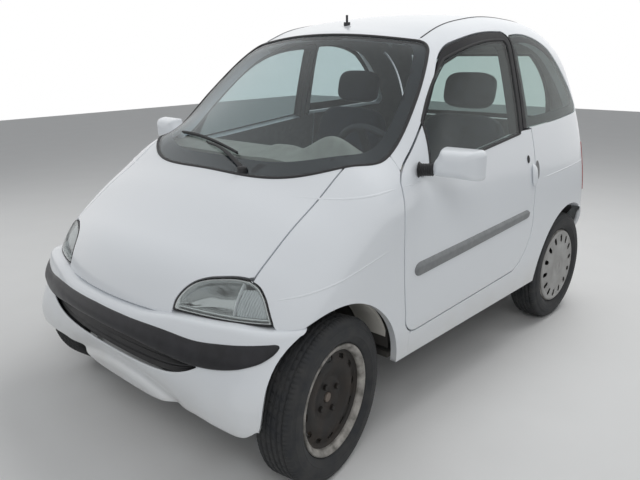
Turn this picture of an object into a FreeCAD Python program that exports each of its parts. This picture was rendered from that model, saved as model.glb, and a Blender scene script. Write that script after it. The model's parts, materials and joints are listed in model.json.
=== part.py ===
import FreeCAD, Part
import Sketcher
import math
import os
from FreeCAD import Placement, Rotation, Vector

# A two-seat microcar: hollow plastic-panelled body on a rail frame, front engine, four road wheels.
# X points to the car's left, Y to its rear and Z up. The origin is on the floor, midway along and across.
# Lengths are millimetres and angles are degrees.

os.makedirs("parts", exist_ok=True)
doc = FreeCAD.newDocument("microcar")
sheet = doc.addObject("Spreadsheet::Sheet", "Dims")

SIZES = [
    # alias, value, what it is
    ("overall_length", 2530, "over the two bumpers"),
    ("body_width", 1410, "over the body sides, without the mirrors"),
    ("overall_height", 1465, "floor to the top of the roof"),
    ("wheelbase", 1701, "axle to axle"),
    ("front_overhang", 400, "front bumper to the front axle"),
    ("tyre_diameter", 533, "over the tread"),
    ("tyre_width", 145, "across the walls"),
    ("rim_diameter", 330, "bead seat of the steel wheel"),
    ("rim_width", 115, "between the flanges, outside"),
    ("rim_lip", 16, "flange height over the bead seat"),
    ("rim_wall", 7, "thickness of the wheel's barrel and disc"),
    ("rim_flange", 8, "thickness of the flange"),
    ("disc_out", 30, "middle of the rim to the wheel disc's face"),
    ("hub_in", 45, "middle of the rim to the hub's inner face"),
    ("hub_out", 24, "middle of the rim to the hub's outer face"),
    ("cover_radius", 178, "plastic cover of a rear wheel"),
    ("cover_depth", 14, "how far a wheel cover stands out at its middle"),
    ("front_tyre_inset", -2, "body side to the outer wall of a front tyre"),
    ("rear_tyre_inset", 22, "body side to the outer wall of a rear tyre"),
    ("strut_top_across", 500, "middle of the car to the top of a front strut"),
    ("strut_top", 690, "floor to the top of a front strut"),
    ("bearing_radius", 38, "bearing on top of a front strut"),
    ("inner_wing_across", 428, "middle to the outer face of an inner wing"),
    ("ball_across", 595, "middle of the car to the lower ball joint"),
    ("ball_radius", 18, "socket of the lower ball joint"),
    ("ball_height", 160, "floor to the lower ball joint"),
    ("steer_parked", 9.5, "angle the front wheels are parked at"),
    ("rear_arch_radius", 322, "rear wheel arch"),
    ("front_arch_radius", 308, "front wheel arch"),
    ("front_arch_back", 12, "front wheel arch's middle behind the axle"),
    ("front_arch_up", 10, "front wheel arch's middle above the axle"),
    ("top_wall", 25, "thickness of bonnet, wings, roof and tailgate"),
    ("side_wall", 50, "thickness of doors and body sides"),
    ("glass_wall", 5, "thickness of the glass"),
    ("shut_gap", 5, "gap round every moving panel"),
    ("door_swing_gap", 8, "gap between a door's front edge and the wing, which it swings past"),
    ("fit_gap", 0.3, "clearance of a fitted piece"),
    ("running_gap", 0.1, "radial clearance of a wheel on its spindle"),
    ("sill_height", 280, "floor to the underside of the sill"),
    ("bumper_height", 556, "floor to the top of the bumpers"),
    ("grille_half", 330, "middle to the end of the grille"),
    ("grille_height", 60, "grille below the strip"),
    ("strip_rear", -1080, "place along of the rubber strip's ends"),
    ("strip_stand_out", 12, "rubber strip ahead of the bumper face"),
    ("strip_height", 78, "rubber strip, top to bottom"),
    ("strip_top", 510, "floor to the top of the rubber strip"),
    ("bonnet_half", 530, "middle to the bonnet's side shut line"),
    ("roof_half", 425, "middle to the roof panel's side joint"),
    ("tailgate_half", 500, "middle to the tailgate's side shut line"),
    ("tailgate_low", 600, "floor to the tailgate's lower edge"),
    ("tailgate_front", 905, "place along of the tailgate's top edge"),
    ("wing_end", -480, "place along of the joint of wing and screen pillar"),
    ("pillar_width", 30, "screen glass to the door's window frame"),
    ("tailgate_axis", 1412, "floor to the tailgate's hinge axis"),
    ("hinge_across", 300, "middle to a tailgate hinge"),
    ("hinge_width", 26, "one ear of a hinge"),
    ("hinge_radius", 8, "hinge barrel"),
    ("rear_house", 438, "middle to the inner wall of a rear wheelhouse, inside"),
    ("front_house", 540, "middle to the inner edge of a front wheel liner"),
    ("house_wall", 8, "thickness of a wheelhouse"),
    ("wheel_liner_end", -545, "place along of the front wheel liner's rear edge"),
    ("floor_end", 1120, "place along of the floor's rear edge"),
    ("floor_wall", 20, "thickness of the floor and the bulkhead"),
    ("bulkhead_along", -540, "place along of the bulkhead's front face"),
    ("rail_width", 50, "chassis rail across"),
    ("rail_height", 60, "chassis rail, top to bottom"),
    ("rail_half", 320, "middle to a rail's own middle"),
    ("spindle_radius", 15, "spindle a wheel turns on"),
    ("hub_radius", 62, "brake drum and hub inside a wheel"),
    ("seat_width", 440, "across one seat"),
    ("seat_middle", 330, "middle of the car to the middle of a seat"),
    ("seat_length", 480, "seat cushion, front to rear"),
    ("seat_front", -95, "place along of the cushion's front edge"),
    ("cushion_height", 240, "floor panel to the top of a cushion"),
    ("steering_wheel_diameter", 370, "over the rim"),
    ("steering_rim", 28, "thickness of the steering wheel's rim"),
    ("engine_front", -1020, "place along of the engine block's front face"),
    ("engine_length", 330, "engine block along"),
    ("engine_width", 400, "engine block across"),
    ("engine_height", 300, "engine block, top to bottom"),
    ("silencer_diameter", 120, "exhaust silencer"),
    ("silencer_length", 360, "exhaust silencer across the car"),
    ("silencer_along", 1020, "place along of the silencer"),
    ("door_shut_lean", 0.24, "slope of the window frame's rear shut face, inwards per length"),
    ("knuckle_wall", 20, "thickness of the plate that carries a front wheel"),
    ("strut_radius", 22, "front strut and rear damper tube"),
    ("arm_radius", 11, "lower arm tube"),
    ("shaft_radius", 14, "drive shaft"),
    ("rack_radius", 18, "steering rack tube"),
    ("rack_half", 370, "middle to the end of the steering rack"),
    ("rack_along", -630, "place along of the steering rack"),
    ("rack_height", 340, "floor to the steering rack"),
    ("rack_foot", 200, "middle to a bracket of the steering rack"),
    ("rear_arm_across", 468, "middle to the middle of a rear arm"),
    ("rear_arm_low", 216, "floor to the underside of a rear arm"),
    ("rear_arm_width", 40, "rear arm across"),
    ("rear_pivot_along", 440, "place along of a rear arm's pivot"),
    ("dash_back", -335, "place along of the dashboard's rear edge"),
    ("dash_top", 950, "floor to the top of the dashboard"),
    ("mirror_along", -390, "place along of a door mirror"),
    ("mirror_height", 960, "floor to the middle of a door mirror"),
    ("antenna_height", 42, "stub antenna on the roof"),
    ("tow_hole", 24, "hole of a towing lug"),
    ("lug_wall", 12, "thickness of a towing lug"),
    ("mirror_reach", 190, "mirror housing across"),
]
for row, (alias, value, note) in enumerate(SIZES, start=1):
    sheet.set(f"A{row}", note)
    sheet.set(f"B{row}", str(value))
    sheet.setAlias(f"B{row}", alias)
doc.recompute()


class Sizes:
    """Reads a named size from the sheet as a plain number."""

    def __getattr__(self, alias):
        return float(sheet.get(alias))


size = Sizes()

# The body's surface was drawn at this length, width and height, and is stretched to the sheet's sizes.
DRAWN_LENGTH, DRAWN_WIDTH, DRAWN_HEIGHT = 2530, 1410, 1465


def along(value):
    return value * size.overall_length / DRAWN_LENGTH


def across(value):
    return value * size.body_width / DRAWN_WIDTH


def up(value):
    return value * size.overall_height / DRAWN_HEIGHT


LENGTH_STRETCH = f"Dims.overall_length / {DRAWN_LENGTH}"

front_axle = -size.overall_length / 2 + size.front_overhang
rear_axle = front_axle + size.wheelbase
tyre_radius = size.tyre_diameter / 2
half_width = size.body_width / 2
front_tyre_middle = half_width - size.front_tyre_inset - size.tyre_width / 2
rear_tyre_middle = half_width - size.rear_tyre_inset - size.tyre_width / 2
arch_radius = size.rear_arch_radius
front_arch = size.front_arch_radius
front_arch_along = front_axle + size.front_arch_back
floor_top = size.sill_height + size.floor_wall

# The same places as formulas on the sheet, for the pieces whose sizes are bound to it.
FRONT_AXLE = "(-Dims.overall_length / 2 + Dims.front_overhang)"
REAR_AXLE = f"({FRONT_AXLE} + Dims.wheelbase)"
TYRE_RADIUS = "Dims.tyre_diameter / 2"
FRONT_TYRE = "(Dims.body_width / 2 - Dims.front_tyre_inset - Dims.tyre_width / 2)"
REAR_TYRE = "(Dims.body_width / 2 - Dims.rear_tyre_inset - Dims.tyre_width / 2)"

NODES = []  # (node name, document object) in the order they are written


def node(name, obj):
    obj.Label = name
    NODES.append((name, obj))
    return obj


def feature(name, shape):
    obj = doc.addObject("Part::Feature", name)
    obj.Shape = shape
    return obj


def mirrored(name, source):
    obj = doc.addObject("Part::Mirroring", name)
    obj.Source = source
    obj.Base = Vector(0, 0, 0)
    obj.Normal = Vector(1, 0, 0)
    return obj


def bind(obj, **formulas):
    for prop, formula in formulas.items():
        obj.setExpression(prop, formula)
    return obj


def put(obj, x="0", y="0", z="0", turn=None):
    """Places obj by three formulas, turned as turn says: (axis, angle)."""
    if turn:
        obj.Placement = Placement(Vector(), Rotation(Vector(*turn[0]), turn[1]))
    obj.setExpression("Placement.Base.x", x)
    obj.setExpression("Placement.Base.y", y)
    obj.setExpression("Placement.Base.z", z)
    return obj


def block(name, x, y, z, wide, deep, tall):
    """A box by its middle across, front face, underside and three sizes, all formulas."""
    obj = bind(doc.addObject("Part::Box", name), Length=wide, Width=deep, Height=tall)
    return put(obj, f"{x} - ({wide}) / 2", y, z)


ACROSS = ((0, 1, 0), 90)
LENGTHWISE = ((1, 0, 0), -90)


def rod(name, radius, height, x, y, z, turn=None):
    obj = bind(doc.addObject("Part::Cylinder", name), Radius=radius, Height=height)
    return put(obj, x, y, z, turn)


def fused(name, *objs):
    obj = doc.addObject("Part::MultiFuse", name)
    obj.Shapes = list(objs)
    return obj


def cut(name, base, tool):
    obj = doc.addObject("Part::Cut", name)
    obj.Base = base
    obj.Tool = tool
    return obj


def pair(name, left):
    """One object that holds a piece and its mirror image."""
    obj = doc.addObject("Part::Compound", name)
    obj.Links = [left, mirrored(name + "_mirror", left)]
    return obj


# Body surface

# The body's cross-sections, nose to tail, for the left half. Each section is a crowned top arc out to the edge
# point, a shoulder arc to the side point, an arc to the waist point and one to the sill.
STATIONS = [
    # along, crown z, edge x, edge z, side x, side z, waist x, waist z, sill x
    (-1262, 640, 400, 592, 600, 560, 660, 500, 655),
    (-1150, 702, 480, 630, 636, 582, 672, 510, 668),
    (-1035, 760, 527, 686, 662, 612, 688, 530, 684),
    (-865, 858, 532, 803, 686, 690, 705, 600, 695),
    (-768, 913, 534, 860, 691, 752, 705, 640, 695),
    (-628, 1017, 545, 950, 689, 846, 705, 680, 695),
    (-450, 1150, 597, 1012, 672, 955, 705, 700, 694),
    (-300, 1262, 569, 1150, 642, 1095, 705, 700, 694),
    (-141, 1376, 510, 1292, 600, 1228, 705, 700, 694),
    (0, 1414, 455, 1375, 580, 1312, 705, 700, 694),
    (250, 1458, 425, 1432, 567, 1362, 705, 700, 694),
    (550, 1465, 420, 1438, 562, 1360, 704, 700, 694),
    (800, 1440, 410, 1410, 556, 1318, 700, 700, 690),
    (960, 1385, 405, 1350, 556, 1246, 692, 700, 684),
    (1060, 1312, 400, 1270, 562, 1160, 682, 700, 676),
    (1150, 1200, 410, 1150, 575, 1030, 668, 690, 664),
    (1200, 1080, 430, 1025, 600, 905, 655, 650, 650),
    (1262, 900, 450, 850, 615, 740, 640, 600, 640),
]

# The body seen from above, left half. An end is an arc through its middle out to the shoulder, a tangent corner arc,
# and a side. Each is its middle's place along, then the shoulder and the corner's end as (across, along).
NOSE = (-1215, (505, -1131), (700, -930))
TAIL = (1228, (500, 1174), (702, 985))
SIDE_HALF = 716  # past the widest section, so that the sections set the flank

SHOULDER_BULGE, SIDE_BULGE = 0.13, 0.025


def arc(a, b, c):
    return Part.Arc(a, b, c).toShape()


def bowed(a, b, bulge):
    """An arc from a to b whose middle stands out from the chord, towards +X and +Z, by a share of its length."""
    chord = b - a
    outward = Vector(-chord.z, 0, chord.x)
    if outward.x < 0:
        outward = -outward
    return arc(a, (a + b) / 2 + outward * bulge, b)


def section(row, top_inset, side_inset, normal, foot):
    y, crown, edge_x, edge_z, side_x, side_z, waist_x, waist_z, sill_x = row
    y, crown, edge_z, side_z, waist_z = along(y), up(crown), up(edge_z), up(side_z), up(waist_z)
    y -= top_inset * normal[0]
    drop = top_inset * normal[1]
    top = Vector(0, y, crown - drop)
    edge = Vector(across(edge_x) - side_inset * 0.3, y, edge_z - drop)
    side = Vector(across(side_x) - side_inset, y, side_z - drop)
    waist = Vector(across(waist_x) - side_inset, y, waist_z - drop * 0.3)
    sill = Vector(across(sill_x) - side_inset, y, foot)

    left = [bowed(edge, side, SHOULDER_BULGE), bowed(side, waist, SIDE_BULGE), bowed(waist, sill, SIDE_BULGE)]
    right = [e.mirror(Vector(), Vector(1, 0, 0)) for e in reversed(left)]
    line = Part.LineSegment(sill, flip(sill)).toShape()
    return Part.Wire(Part.__sortEdges__([arc(flip(edge), top, edge)] + left + [line] + right))


def normals():
    """The crown line's outward direction at each station, as (along, up)."""
    line = [(along(r[0]), up(r[1])) for r in STATIONS]
    found = []
    for i in range(len(line)):
        a, b = line[max(i - 1, 0)], line[min(i + 1, len(line) - 1)]
        dy, dz = b[0] - a[0], b[1] - a[1]
        length = math.hypot(dy, dz)
        found.append((-dz / length, dy / length))
    return found


def flip(v):
    return Vector(-v.x, v.y, v.z)


def corner_arc(start, heading, end):
    """An arc that leaves start along heading and ends at end."""
    chord = end - start
    normal = Vector(-heading.y, heading.x, 0)
    if normal.dot(chord) < 0:
        normal = -normal
    radius = chord.Length ** 2 / (2 * chord.dot(normal))
    centre = start + normal * radius
    middle = centre + ((start - centre) + (end - centre)).normalize() * radius
    return arc(start, middle, end)


def end_edges(end, inset, side):
    """Nose or tail outline drawn inwards by inset, from the left side point round to the right one."""
    sign = -1 if end[0] < 0 else 1
    middle = along(end[0])
    shoulder, corner = [(across(x), along(y)) for x, y in end[1:]]
    angle = 2 * math.atan((abs(middle) - abs(shoulder[1])) / shoulder[0])
    heading = Vector(math.cos(angle), -sign * math.sin(angle), 0)
    outward = Vector(math.sin(angle), sign * math.cos(angle), 0)
    tip = Vector(0, middle - sign * inset, 0)
    turn = Vector(*shoulder, 0) - outward * inset
    last = Vector(corner[0] - inset, corner[1], 0)
    left = [corner_arc(turn, heading, last), Part.LineSegment(last, side).toShape()]
    right = [e.mirror(Vector(), Vector(1, 0, 0)) for e in left]
    return left + [arc(flip(turn), tip, turn)] + right


def plan(low, high, inset=0.0):
    """A prism with the body's outline from above, between two heights."""
    front = Vector(across(SIDE_HALF) - inset, along(-800), 0)
    rear = Vector(across(SIDE_HALF) - inset, along(880), 0)
    edges = end_edges(NOSE, inset, front) + end_edges(TAIL, inset, rear)
    edges += [Part.LineSegment(front, rear).toShape(), Part.LineSegment(flip(front), flip(rear)).toShape()]
    face = Part.Face(Part.Wire(Part.__sortEdges__(edges)))
    face.translate(Vector(0, 0, low))
    return face.extrude(Vector(0, 0, high - low))


def body_form(top_inset, side_inset, foot):
    """The whole outside of the body, drawn inwards by the two insets, as one solid."""
    wires = [section(r, top_inset, side_inset, n, foot) for r, n in zip(STATIONS, normals())]
    loft = Part.makeLoft(wires, True, True)
    inset = (top_inset + side_inset) / 2
    return loft.common(plan(foot - 10, up(DRAWN_HEIGHT) + 100, inset))


def box(x1, x2, y1, y2, z1, z2):
    return Part.makeBox(x2 - x1, y2 - y1, z2 - z1, Vector(x1, y1, z1))


def outline(steps, plane):
    """A closed wire from steps: ("line", end) or ("arc", middle, end), the first being ("start", point)."""
    def at(p):
        return Vector(0, along(p[0]), up(p[1])) if plane == "side" else (
            Vector(across(p[0]), 0, up(p[1])) if plane == "rear" else Vector(across(p[0]), along(p[1]), 0))
    here = at(steps[0][1])
    first = here
    edges = []
    for step in steps[1:]:
        end = at(step[-1])
        edges.append(arc(here, at(step[1]), end) if step[0] == "arc" else Part.LineSegment(here, end).toShape())
        here = end
    if (here - first).Length > 1e-6:
        edges.append(Part.LineSegment(here, first).toShape())
    return Part.Wire(edges)


def prism(steps, plane, low, high, grow=0.0):
    """Extrudes an outline across the car (side), along it (rear) or upwards (plan), grown by a margin."""
    wire = outline(steps, plane)
    if grow:
        wire = wire.makeOffset2D(grow, 2)
    face = Part.Face(wire)
    direction = {"side": Vector(1, 0, 0), "rear": Vector(0, 1, 0), "plan": Vector(0, 0, 1)}[plane]
    face.translate(direction * low)
    return face.extrude(direction * (high - low))


# Outlines of the panels and windows. Side ones are (along, up), rear ones (across, up), plan ones (across, along).
DOOR = [
    ("start", (-440, 374)),
    ("arc", (-490, 393), (-509, 450)),
    ("arc", (-522, 690), (-497, 900)),
    ("arc", (-330, 1118), (-110, 1302)),
    ("arc", (70, 1354), (320, 1374)),
    ("arc", (358, 1364), (370, 1325)),
    ("line", (362, 985)),
    ("line", (436, 985)),
    ("arc", (448, 860), (424, 640)),
    ("arc", (380, 480), (270, 398)),
]
DOOR_WINDOW = [
    ("start", (-352, 912)),
    ("line", (-318, 1078)),
    ("arc", (-230, 1170), (-92, 1278)),
    ("arc", (80, 1326), (306, 1344)),
    ("arc", (332, 1336), (338, 1310)),
    ("line", (332, 976)),
]
QUARTER = [
    ("start", (405, 985)),
    ("line", (412, 1352)),
    ("arc", (620, 1342), (760, 1296)),
    ("arc", (900, 1180), (1000, 1062)),
    ("arc", (1012, 1036), (992, 1012)),
    ("arc", (700, 996), (405, 985)),
]
SCREEN = [
    ("start", (-600, -556)),
    ("arc", (0, -768), (600, -556)),
    ("arc", (572, -300), (470, -72)),
    ("arc", (0, -141), (-470, -72)),
    ("arc", (-572, -300), (-600, -556)),
]
LAMP = [
    ("start", (338, 588)),
    ("line", (634, 572)),
    ("arc", (600, 652), (527, 684)),
    ("arc", (415, 660), (338, 588)),
]
REAR_WINDOW = [
    ("start", (-400, 930)),
    ("line", (400, 930)),
    ("arc", (432, 944), (440, 980)),
    ("arc", (425, 1150), (372, 1300)),
    ("line", (-372, 1300)),
    ("arc", (-425, 1150), (-440, 980)),
    ("arc", (-432, 944), (-400, 930)),
]
TAIL_LAMP = [
    ("start", (520, 625)),
    ("line", (700, 625)),
    ("line", (700, 860)),
    ("arc", (560, 845), (520, 790)),
]

FAR = 2000  # past the body on any side
outer = body_form(0, 0, size.sill_height)
inner = body_form(size.top_wall, size.side_wall, size.sill_height - 60)
skin = outer.cut(inner)
glass_inner = body_form(size.glass_wall, size.glass_wall, size.sill_height - 60)
glass_skin = outer.cut(glass_inner)

left_half = box(0, FAR, -FAR, FAR, 0, FAR)
screen_hole = prism(SCREEN, "plan", up(800), FAR)
above_bumper = box(-FAR, FAR, -FAR, FAR, size.bumper_height, FAR)
front_end = box(-FAR, FAR, -FAR, front_axle, 0, size.bumper_height + size.fit_gap)
rear_end = box(-FAR, FAR, rear_axle + 0.6 * arch_radius, FAR, 0, size.bumper_height + size.fit_gap)


def arch(place, x1, x2, radius):
    rise = size.front_arch_up if place < 0 else 0
    return Part.makeCylinder(radius, x2 - x1, Vector(x1, place, tyre_radius + rise), Vector(1, 0, 0))


arches = arch(front_arch_along, -FAR, FAR, front_arch).fuse(arch(rear_axle, -FAR, FAR, arch_radius))
arches = arches.fuse(box(-FAR, FAR, front_arch_along - front_arch, front_arch_along + front_arch, 0,
                         tyre_radius + size.front_arch_up))
arches = arches.fuse(box(-FAR, FAR, rear_axle - arch_radius, rear_axle + arch_radius, 0, tyre_radius))
gap = size.shut_gap
fit = size.fit_gap

# Bonnet, between the side shut lines, from the bumper to the screen
lamp_left = prism(LAMP, "rear", -FAR, along(-900))
lamps_grown = prism(LAMP, "rear", -FAR, along(-900), gap)
lamps_grown = lamps_grown.fuse(lamps_grown.mirror(Vector(), Vector(1, 0, 0)))
lamp_seat = prism(LAMP, "rear", -FAR, along(-900), fit)
bonnet_area = box(-size.bonnet_half, size.bonnet_half, -FAR, along(-560), size.bumper_height + gap, up(1000))
under_lamps = box(across(333), across(660), -FAR, along(-900), 0, up(600))
under_lamps = under_lamps.fuse(under_lamps.mirror(Vector(), Vector(1, 0, 0)))
bonnet_shape = skin.common(bonnet_area).cut(prism(SCREEN, "plan", 0, FAR, gap)).cut(lamps_grown)
bonnet_shape = bonnet_shape.cut(under_lamps)


def largest(shape, count=1):
    """The biggest solids of a cut, without its crumbs."""
    solids = sorted(shape.Solids, key=lambda s: -s.Volume)[:count]
    return solids[0] if count == 1 else Part.makeCompound(solids)


bonnet = node("bonnet", feature("bonnet", largest(bonnet_shape)))

# Windscreen, roof and the two body sides
windscreen = node("windscreen", feature("windscreen", largest(glass_skin.common(screen_hole))))

def hinge_ear(x, side):
    """Half of a tailgate hinge: a lug with its barrel. side is -1 on the roof and 1 on the tailgate."""
    y, z, wide, radius = size.tailgate_front, size.tailgate_axis, size.hinge_width, size.hinge_radius
    front, rear = (y - 30, y - 4) if side < 0 else (y + 4, y + 30)
    lug = box(x, x + wide, front, rear, z - 50, z + 4)
    bridge = box(x, x + wide, min(front, y), max(rear, y), z - 4, z + 4)
    return lug.fuse(bridge).fuse(Part.makeCylinder(radius, wide, Vector(x, y, z), Vector(1, 0, 0)))


def hinges(side):
    shift = 0 if side < 0 else size.hinge_width + size.fit_gap
    ears = hinge_ear(size.hinge_across + shift, side)
    return ears.fuse(hinge_ear(-size.hinge_across - shift - size.hinge_width, side))


roof_area = box(-size.roof_half, size.roof_half, along(-300), size.tailgate_front - gap / 2, up(1200), FAR)
roof = node("roof_panel", feature("roof_panel", largest(
    skin.common(roof_area).cut(screen_hole).fuse(hinges(-1)))))

tailgate_area = box(-size.tailgate_half, size.tailgate_half, size.tailgate_front + gap / 2, FAR, size.tailgate_low, FAR)
tailgate_grown = box(-size.tailgate_half - gap, size.tailgate_half + gap, size.tailgate_front - gap / 2, FAR,
                     size.tailgate_low - gap, FAR)
rear_window = prism(REAR_WINDOW, "rear", along(850), FAR)
tailgate = node("tailgate", feature("tailgate", largest(
    skin.common(tailgate_area).cut(rear_window).fuse(hinges(1)))))
tailgate_glass = node("tailgate_glass", feature("tailgate_glass", largest(glass_skin.common(rear_window))))

door_cut = prism(DOOR, "side", 0, FAR)
screen_pillar = prism(SCREEN, "plan", up(1000), FAR, size.pillar_width - gap)
roof_rail = box(-FAR, size.roof_half, -FAR, FAR, up(1200), FAR)
door_hole = prism(DOOR, "side", 0, FAR, gap).cut(screen_pillar).cut(roof_rail)
door_window = prism(DOOR_WINDOW, "side", 0, FAR)
quarter_window = prism(QUARTER, "side", 0, FAR)
tail_lamp = prism(TAIL_LAMP, "rear", along(1000), FAR)

left_skin = skin.common(left_half)


def behind(a, b, c):
    """The half of space on the far side of the plane through three points, towards +Y."""
    normal = (b - a).cross(c - a)
    if normal.y < 0:
        normal = -normal
    half = box(-FAR, FAR, 0, 2 * FAR, -FAR, FAR)
    half.Placement = Placement(a, Rotation(Vector(0, 1, 0), normal))
    return half


# The window frame's rear shut face slopes forward inside, so that the frame swings past the pillar
shut_low = Vector(across(680), along(366), up(985))
shut_high = Vector(across(594), along(368), up(1325))
shut_face = behind(shut_low, shut_high, shut_low + Vector(-100, -100 * size.door_shut_lean, 0))
shut_face = shut_face.common(box(-FAR, FAR, -FAR, FAR, up(985), FAR))
beside_pillar = prism(SCREEN, "plan", up(1000), FAR, size.pillar_width)
beside_roof = box(-FAR, size.roof_half + gap, -FAR, FAR, up(1200), FAR)
door_shape = left_skin.common(door_cut).cut(door_window).cut(shut_face).cut(beside_pillar).cut(beside_roof)
door_shape = largest(door_shape)
door_left = node("door_left", feature("door_left", door_shape))
door_glass_left = node("door_glass_left", feature("door_glass_left", largest(
    glass_skin.common(left_half).common(door_window))))
quarter_left = feature("quarter_glass", largest(glass_skin.common(left_half).common(quarter_window)))
quarter_glass = node("quarter_glass", pair("quarter_glass_pair", quarter_left))

side_shape = left_skin.cut(door_hole).cut(quarter_window).cut(screen_hole).cut(arches)
side_shape = side_shape.cut(roof_area).cut(tailgate_grown).cut(tail_lamp)
wing_area = box(0, FAR, -FAR, size.wing_end, 0, FAR)
bonnet_grown = box(-size.bonnet_half - gap, size.bonnet_half + gap, -FAR, along(-560), 0, up(1000))
door_swing = prism(DOOR, "side", 0, FAR, size.door_swing_gap)
wing_shape = side_shape.common(wing_area).cut(bonnet_grown).cut(lamp_seat).cut(front_end).cut(door_swing)
wing_shape = largest(wing_shape)
wing_left = node("wing_left", feature("wing_left", wing_shape))
side_left = node("body_side_left", feature("body_side_left", largest(
    side_shape.cut(wing_area).cut(bonnet_grown).cut(rear_end))))

lamp_shape = largest(skin.common(lamp_left).common(above_bumper))
headlamps = node("headlamps", pair("headlamps_pair", feature("headlamp", lamp_shape)))
tail_shape = largest(left_skin.common(tail_lamp).cut(tailgate_grown))
tail_lamps = node("tail_lamps", pair("tail_lamps_pair", feature("tail_lamp", tail_shape)))

# Bumpers: a rounded belt round each end, hollow behind. Each row is a level of the outer form.
FRONT_LEVELS = [
    # height, then the outline there: the middle's place along, the shoulder and the corner's end
    (556, (-1243, (535, -1150), (697, -975))),
    (505, (-1265, (540, -1172), (700, -1010))),
    (430, (-1257, (545, -1170), (702, -1020))),
    (330, (-1226, (560, -1163), (706, -1050))),
    (215, (-1192, (560, -1140), (700, -1050))),
]
REAR_LEVELS = [
    (556, (1262, (505, 1205), (708, 1030))),
    (430, (1262, (505, 1205), (708, 1030))),
    (255, (1230, (500, 1176), (698, 1010))),
]
wall = size.top_wall


def bumper_form(levels, inset, depth):
    """The outer form of a bumper drawn inwards by an inset, closed by a flat back."""
    wires = []
    for height, end in levels:
        back = Vector(across(SIDE_HALF) - inset, depth, 0)
        edges = end_edges(end, inset, back) + [Part.LineSegment(back, flip(back)).toShape()]
        wire = Part.Wire(Part.__sortEdges__(edges))
        wire.translate(Vector(0, 0, min(up(height), size.bumper_height)))
        wires.append(wire)
    return Part.makeLoft(wires, True, True)


def bumper_zone(levels, depth):
    """The space that a bumper's wall takes, with the fit clearance on both sides."""
    return bumper_form(levels, -fit, depth).cut(bumper_form(levels, wall + fit, depth))


BUMPER_FOOT = [
    ("start", (-800, 300)),
    ("arc", (0, 223), (800, 300)),
    ("line", (800, 0)),
    ("line", (-800, 0)),
]
front_part = box(-FAR, FAR, -FAR, front_axle, 0, FAR)
rear_part = box(-FAR, FAR, rear_axle + 0.6 * arch_radius, FAR, 0, FAR)
ledge_hole = plan(size.bumper_height - wall - 1, size.bumper_height + 1, 60)
front_whole = bumper_form(FRONT_LEVELS, 0, along(-800)).common(front_part)
front_hollow = bumper_form(FRONT_LEVELS, wall, along(-800))
front_shell = front_whole.cut(front_hollow.common(box(-FAR, FAR, -FAR, FAR, 0, size.bumper_height - wall)))
front_shell = front_shell.cut(ledge_hole).cut(arches).cut(prism(BUMPER_FOOT, "rear", -FAR, 0))
grille_low = size.strip_top - size.strip_height - size.grille_height
grille_hole = box(-size.grille_half, size.grille_half, -FAR, along(-1000), grille_low,
                  size.strip_top - size.strip_height)
front_bumper = node("front_bumper", feature("front_bumper", largest(front_shell.cut(grille_hole))))
grille_shape = bumper_form(FRONT_LEVELS, 10, along(-800)).cut(bumper_form(FRONT_LEVELS, 20, along(-800)))
front_grille = node("front_grille", feature("front_grille", largest(grille_shape.common(grille_hole))))
strip_band = box(-FAR, FAR, -FAR, size.strip_rear, size.strip_top - size.strip_height, size.strip_top)
strip_shape = bumper_form(FRONT_LEVELS, -size.strip_stand_out, along(-800)).cut(
    bumper_form(FRONT_LEVELS, -fit, along(-800))).common(strip_band)
strip_shape = strip_shape.cut(arch(front_arch_along, -FAR, FAR, front_arch + gap))
bumper_strip = node("bumper_strip", feature("bumper_strip", largest(strip_shape)))
rear_whole = bumper_form(REAR_LEVELS, 0, along(800)).common(rear_part)
under_ledge = box(-FAR, FAR, -FAR, FAR, 0, size.bumper_height - wall)
rear_hollow = bumper_form(REAR_LEVELS, wall, along(800)).common(under_ledge)
rear_shell = rear_whole.cut(rear_hollow).cut(ledge_hole).cut(arches)
rear_bumper = node("rear_bumper", feature("rear_bumper", largest(rear_shell)))

proud = body_form(-12, -12, size.sill_height)
near = body_form(-size.fit_gap, -size.fit_gap, size.sill_height)
skin_over = proud.cut(near)

RUB_STRIP = [
    ("start", (-462, 580)),
    ("line", (-462, 616)),
    ("line", (393, 648)),
    ("line", (393, 612)),
]
rub_left = node("rub_strip_left", feature("rub_strip_left", largest(
    skin_over.common(left_half).common(prism(RUB_STRIP, "side", 0, FAR)))))

WIPER_ARM = [
    ("start", (178, -748)),
    ("line", (-128, -664)),
    ("line", (-132, -678)),
    ("line", (162, -768)),
]
WIPER_BLADE = [
    ("start", (92, -690)),
    ("line", (-352, -612)),
    ("line", (-354, -624)),
    ("line", (90, -703)),
]
wiper_shape = skin_over.common(prism(WIPER_ARM, "plan", up(800), FAR).fuse(prism(WIPER_BLADE, "plan", up(800), FAR)))
wiper = node("wiper", feature("wiper", largest(wiper_shape)))

# Door mirror: an arm from the window's front corner and a housing
mirror_arm = block("mirror_arm", f"(Dims.body_width / 2 + 10)", "Dims.mirror_along - 25", "Dims.mirror_height - 55",
                   "110", "50", "36")
mirror_house = block("mirror_house", "(Dims.body_width / 2 + Dims.mirror_reach / 2 - 5)", "Dims.mirror_along - 30",
                     "Dims.mirror_height - 50", "Dims.mirror_reach", "70", "100")
mirror_solid = fused("mirror_solid", mirror_arm, mirror_house)
doc.recompute()
mirror_left = node("mirror_left", feature("mirror_left", largest(mirror_solid.Shape.cut(near))))

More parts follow.
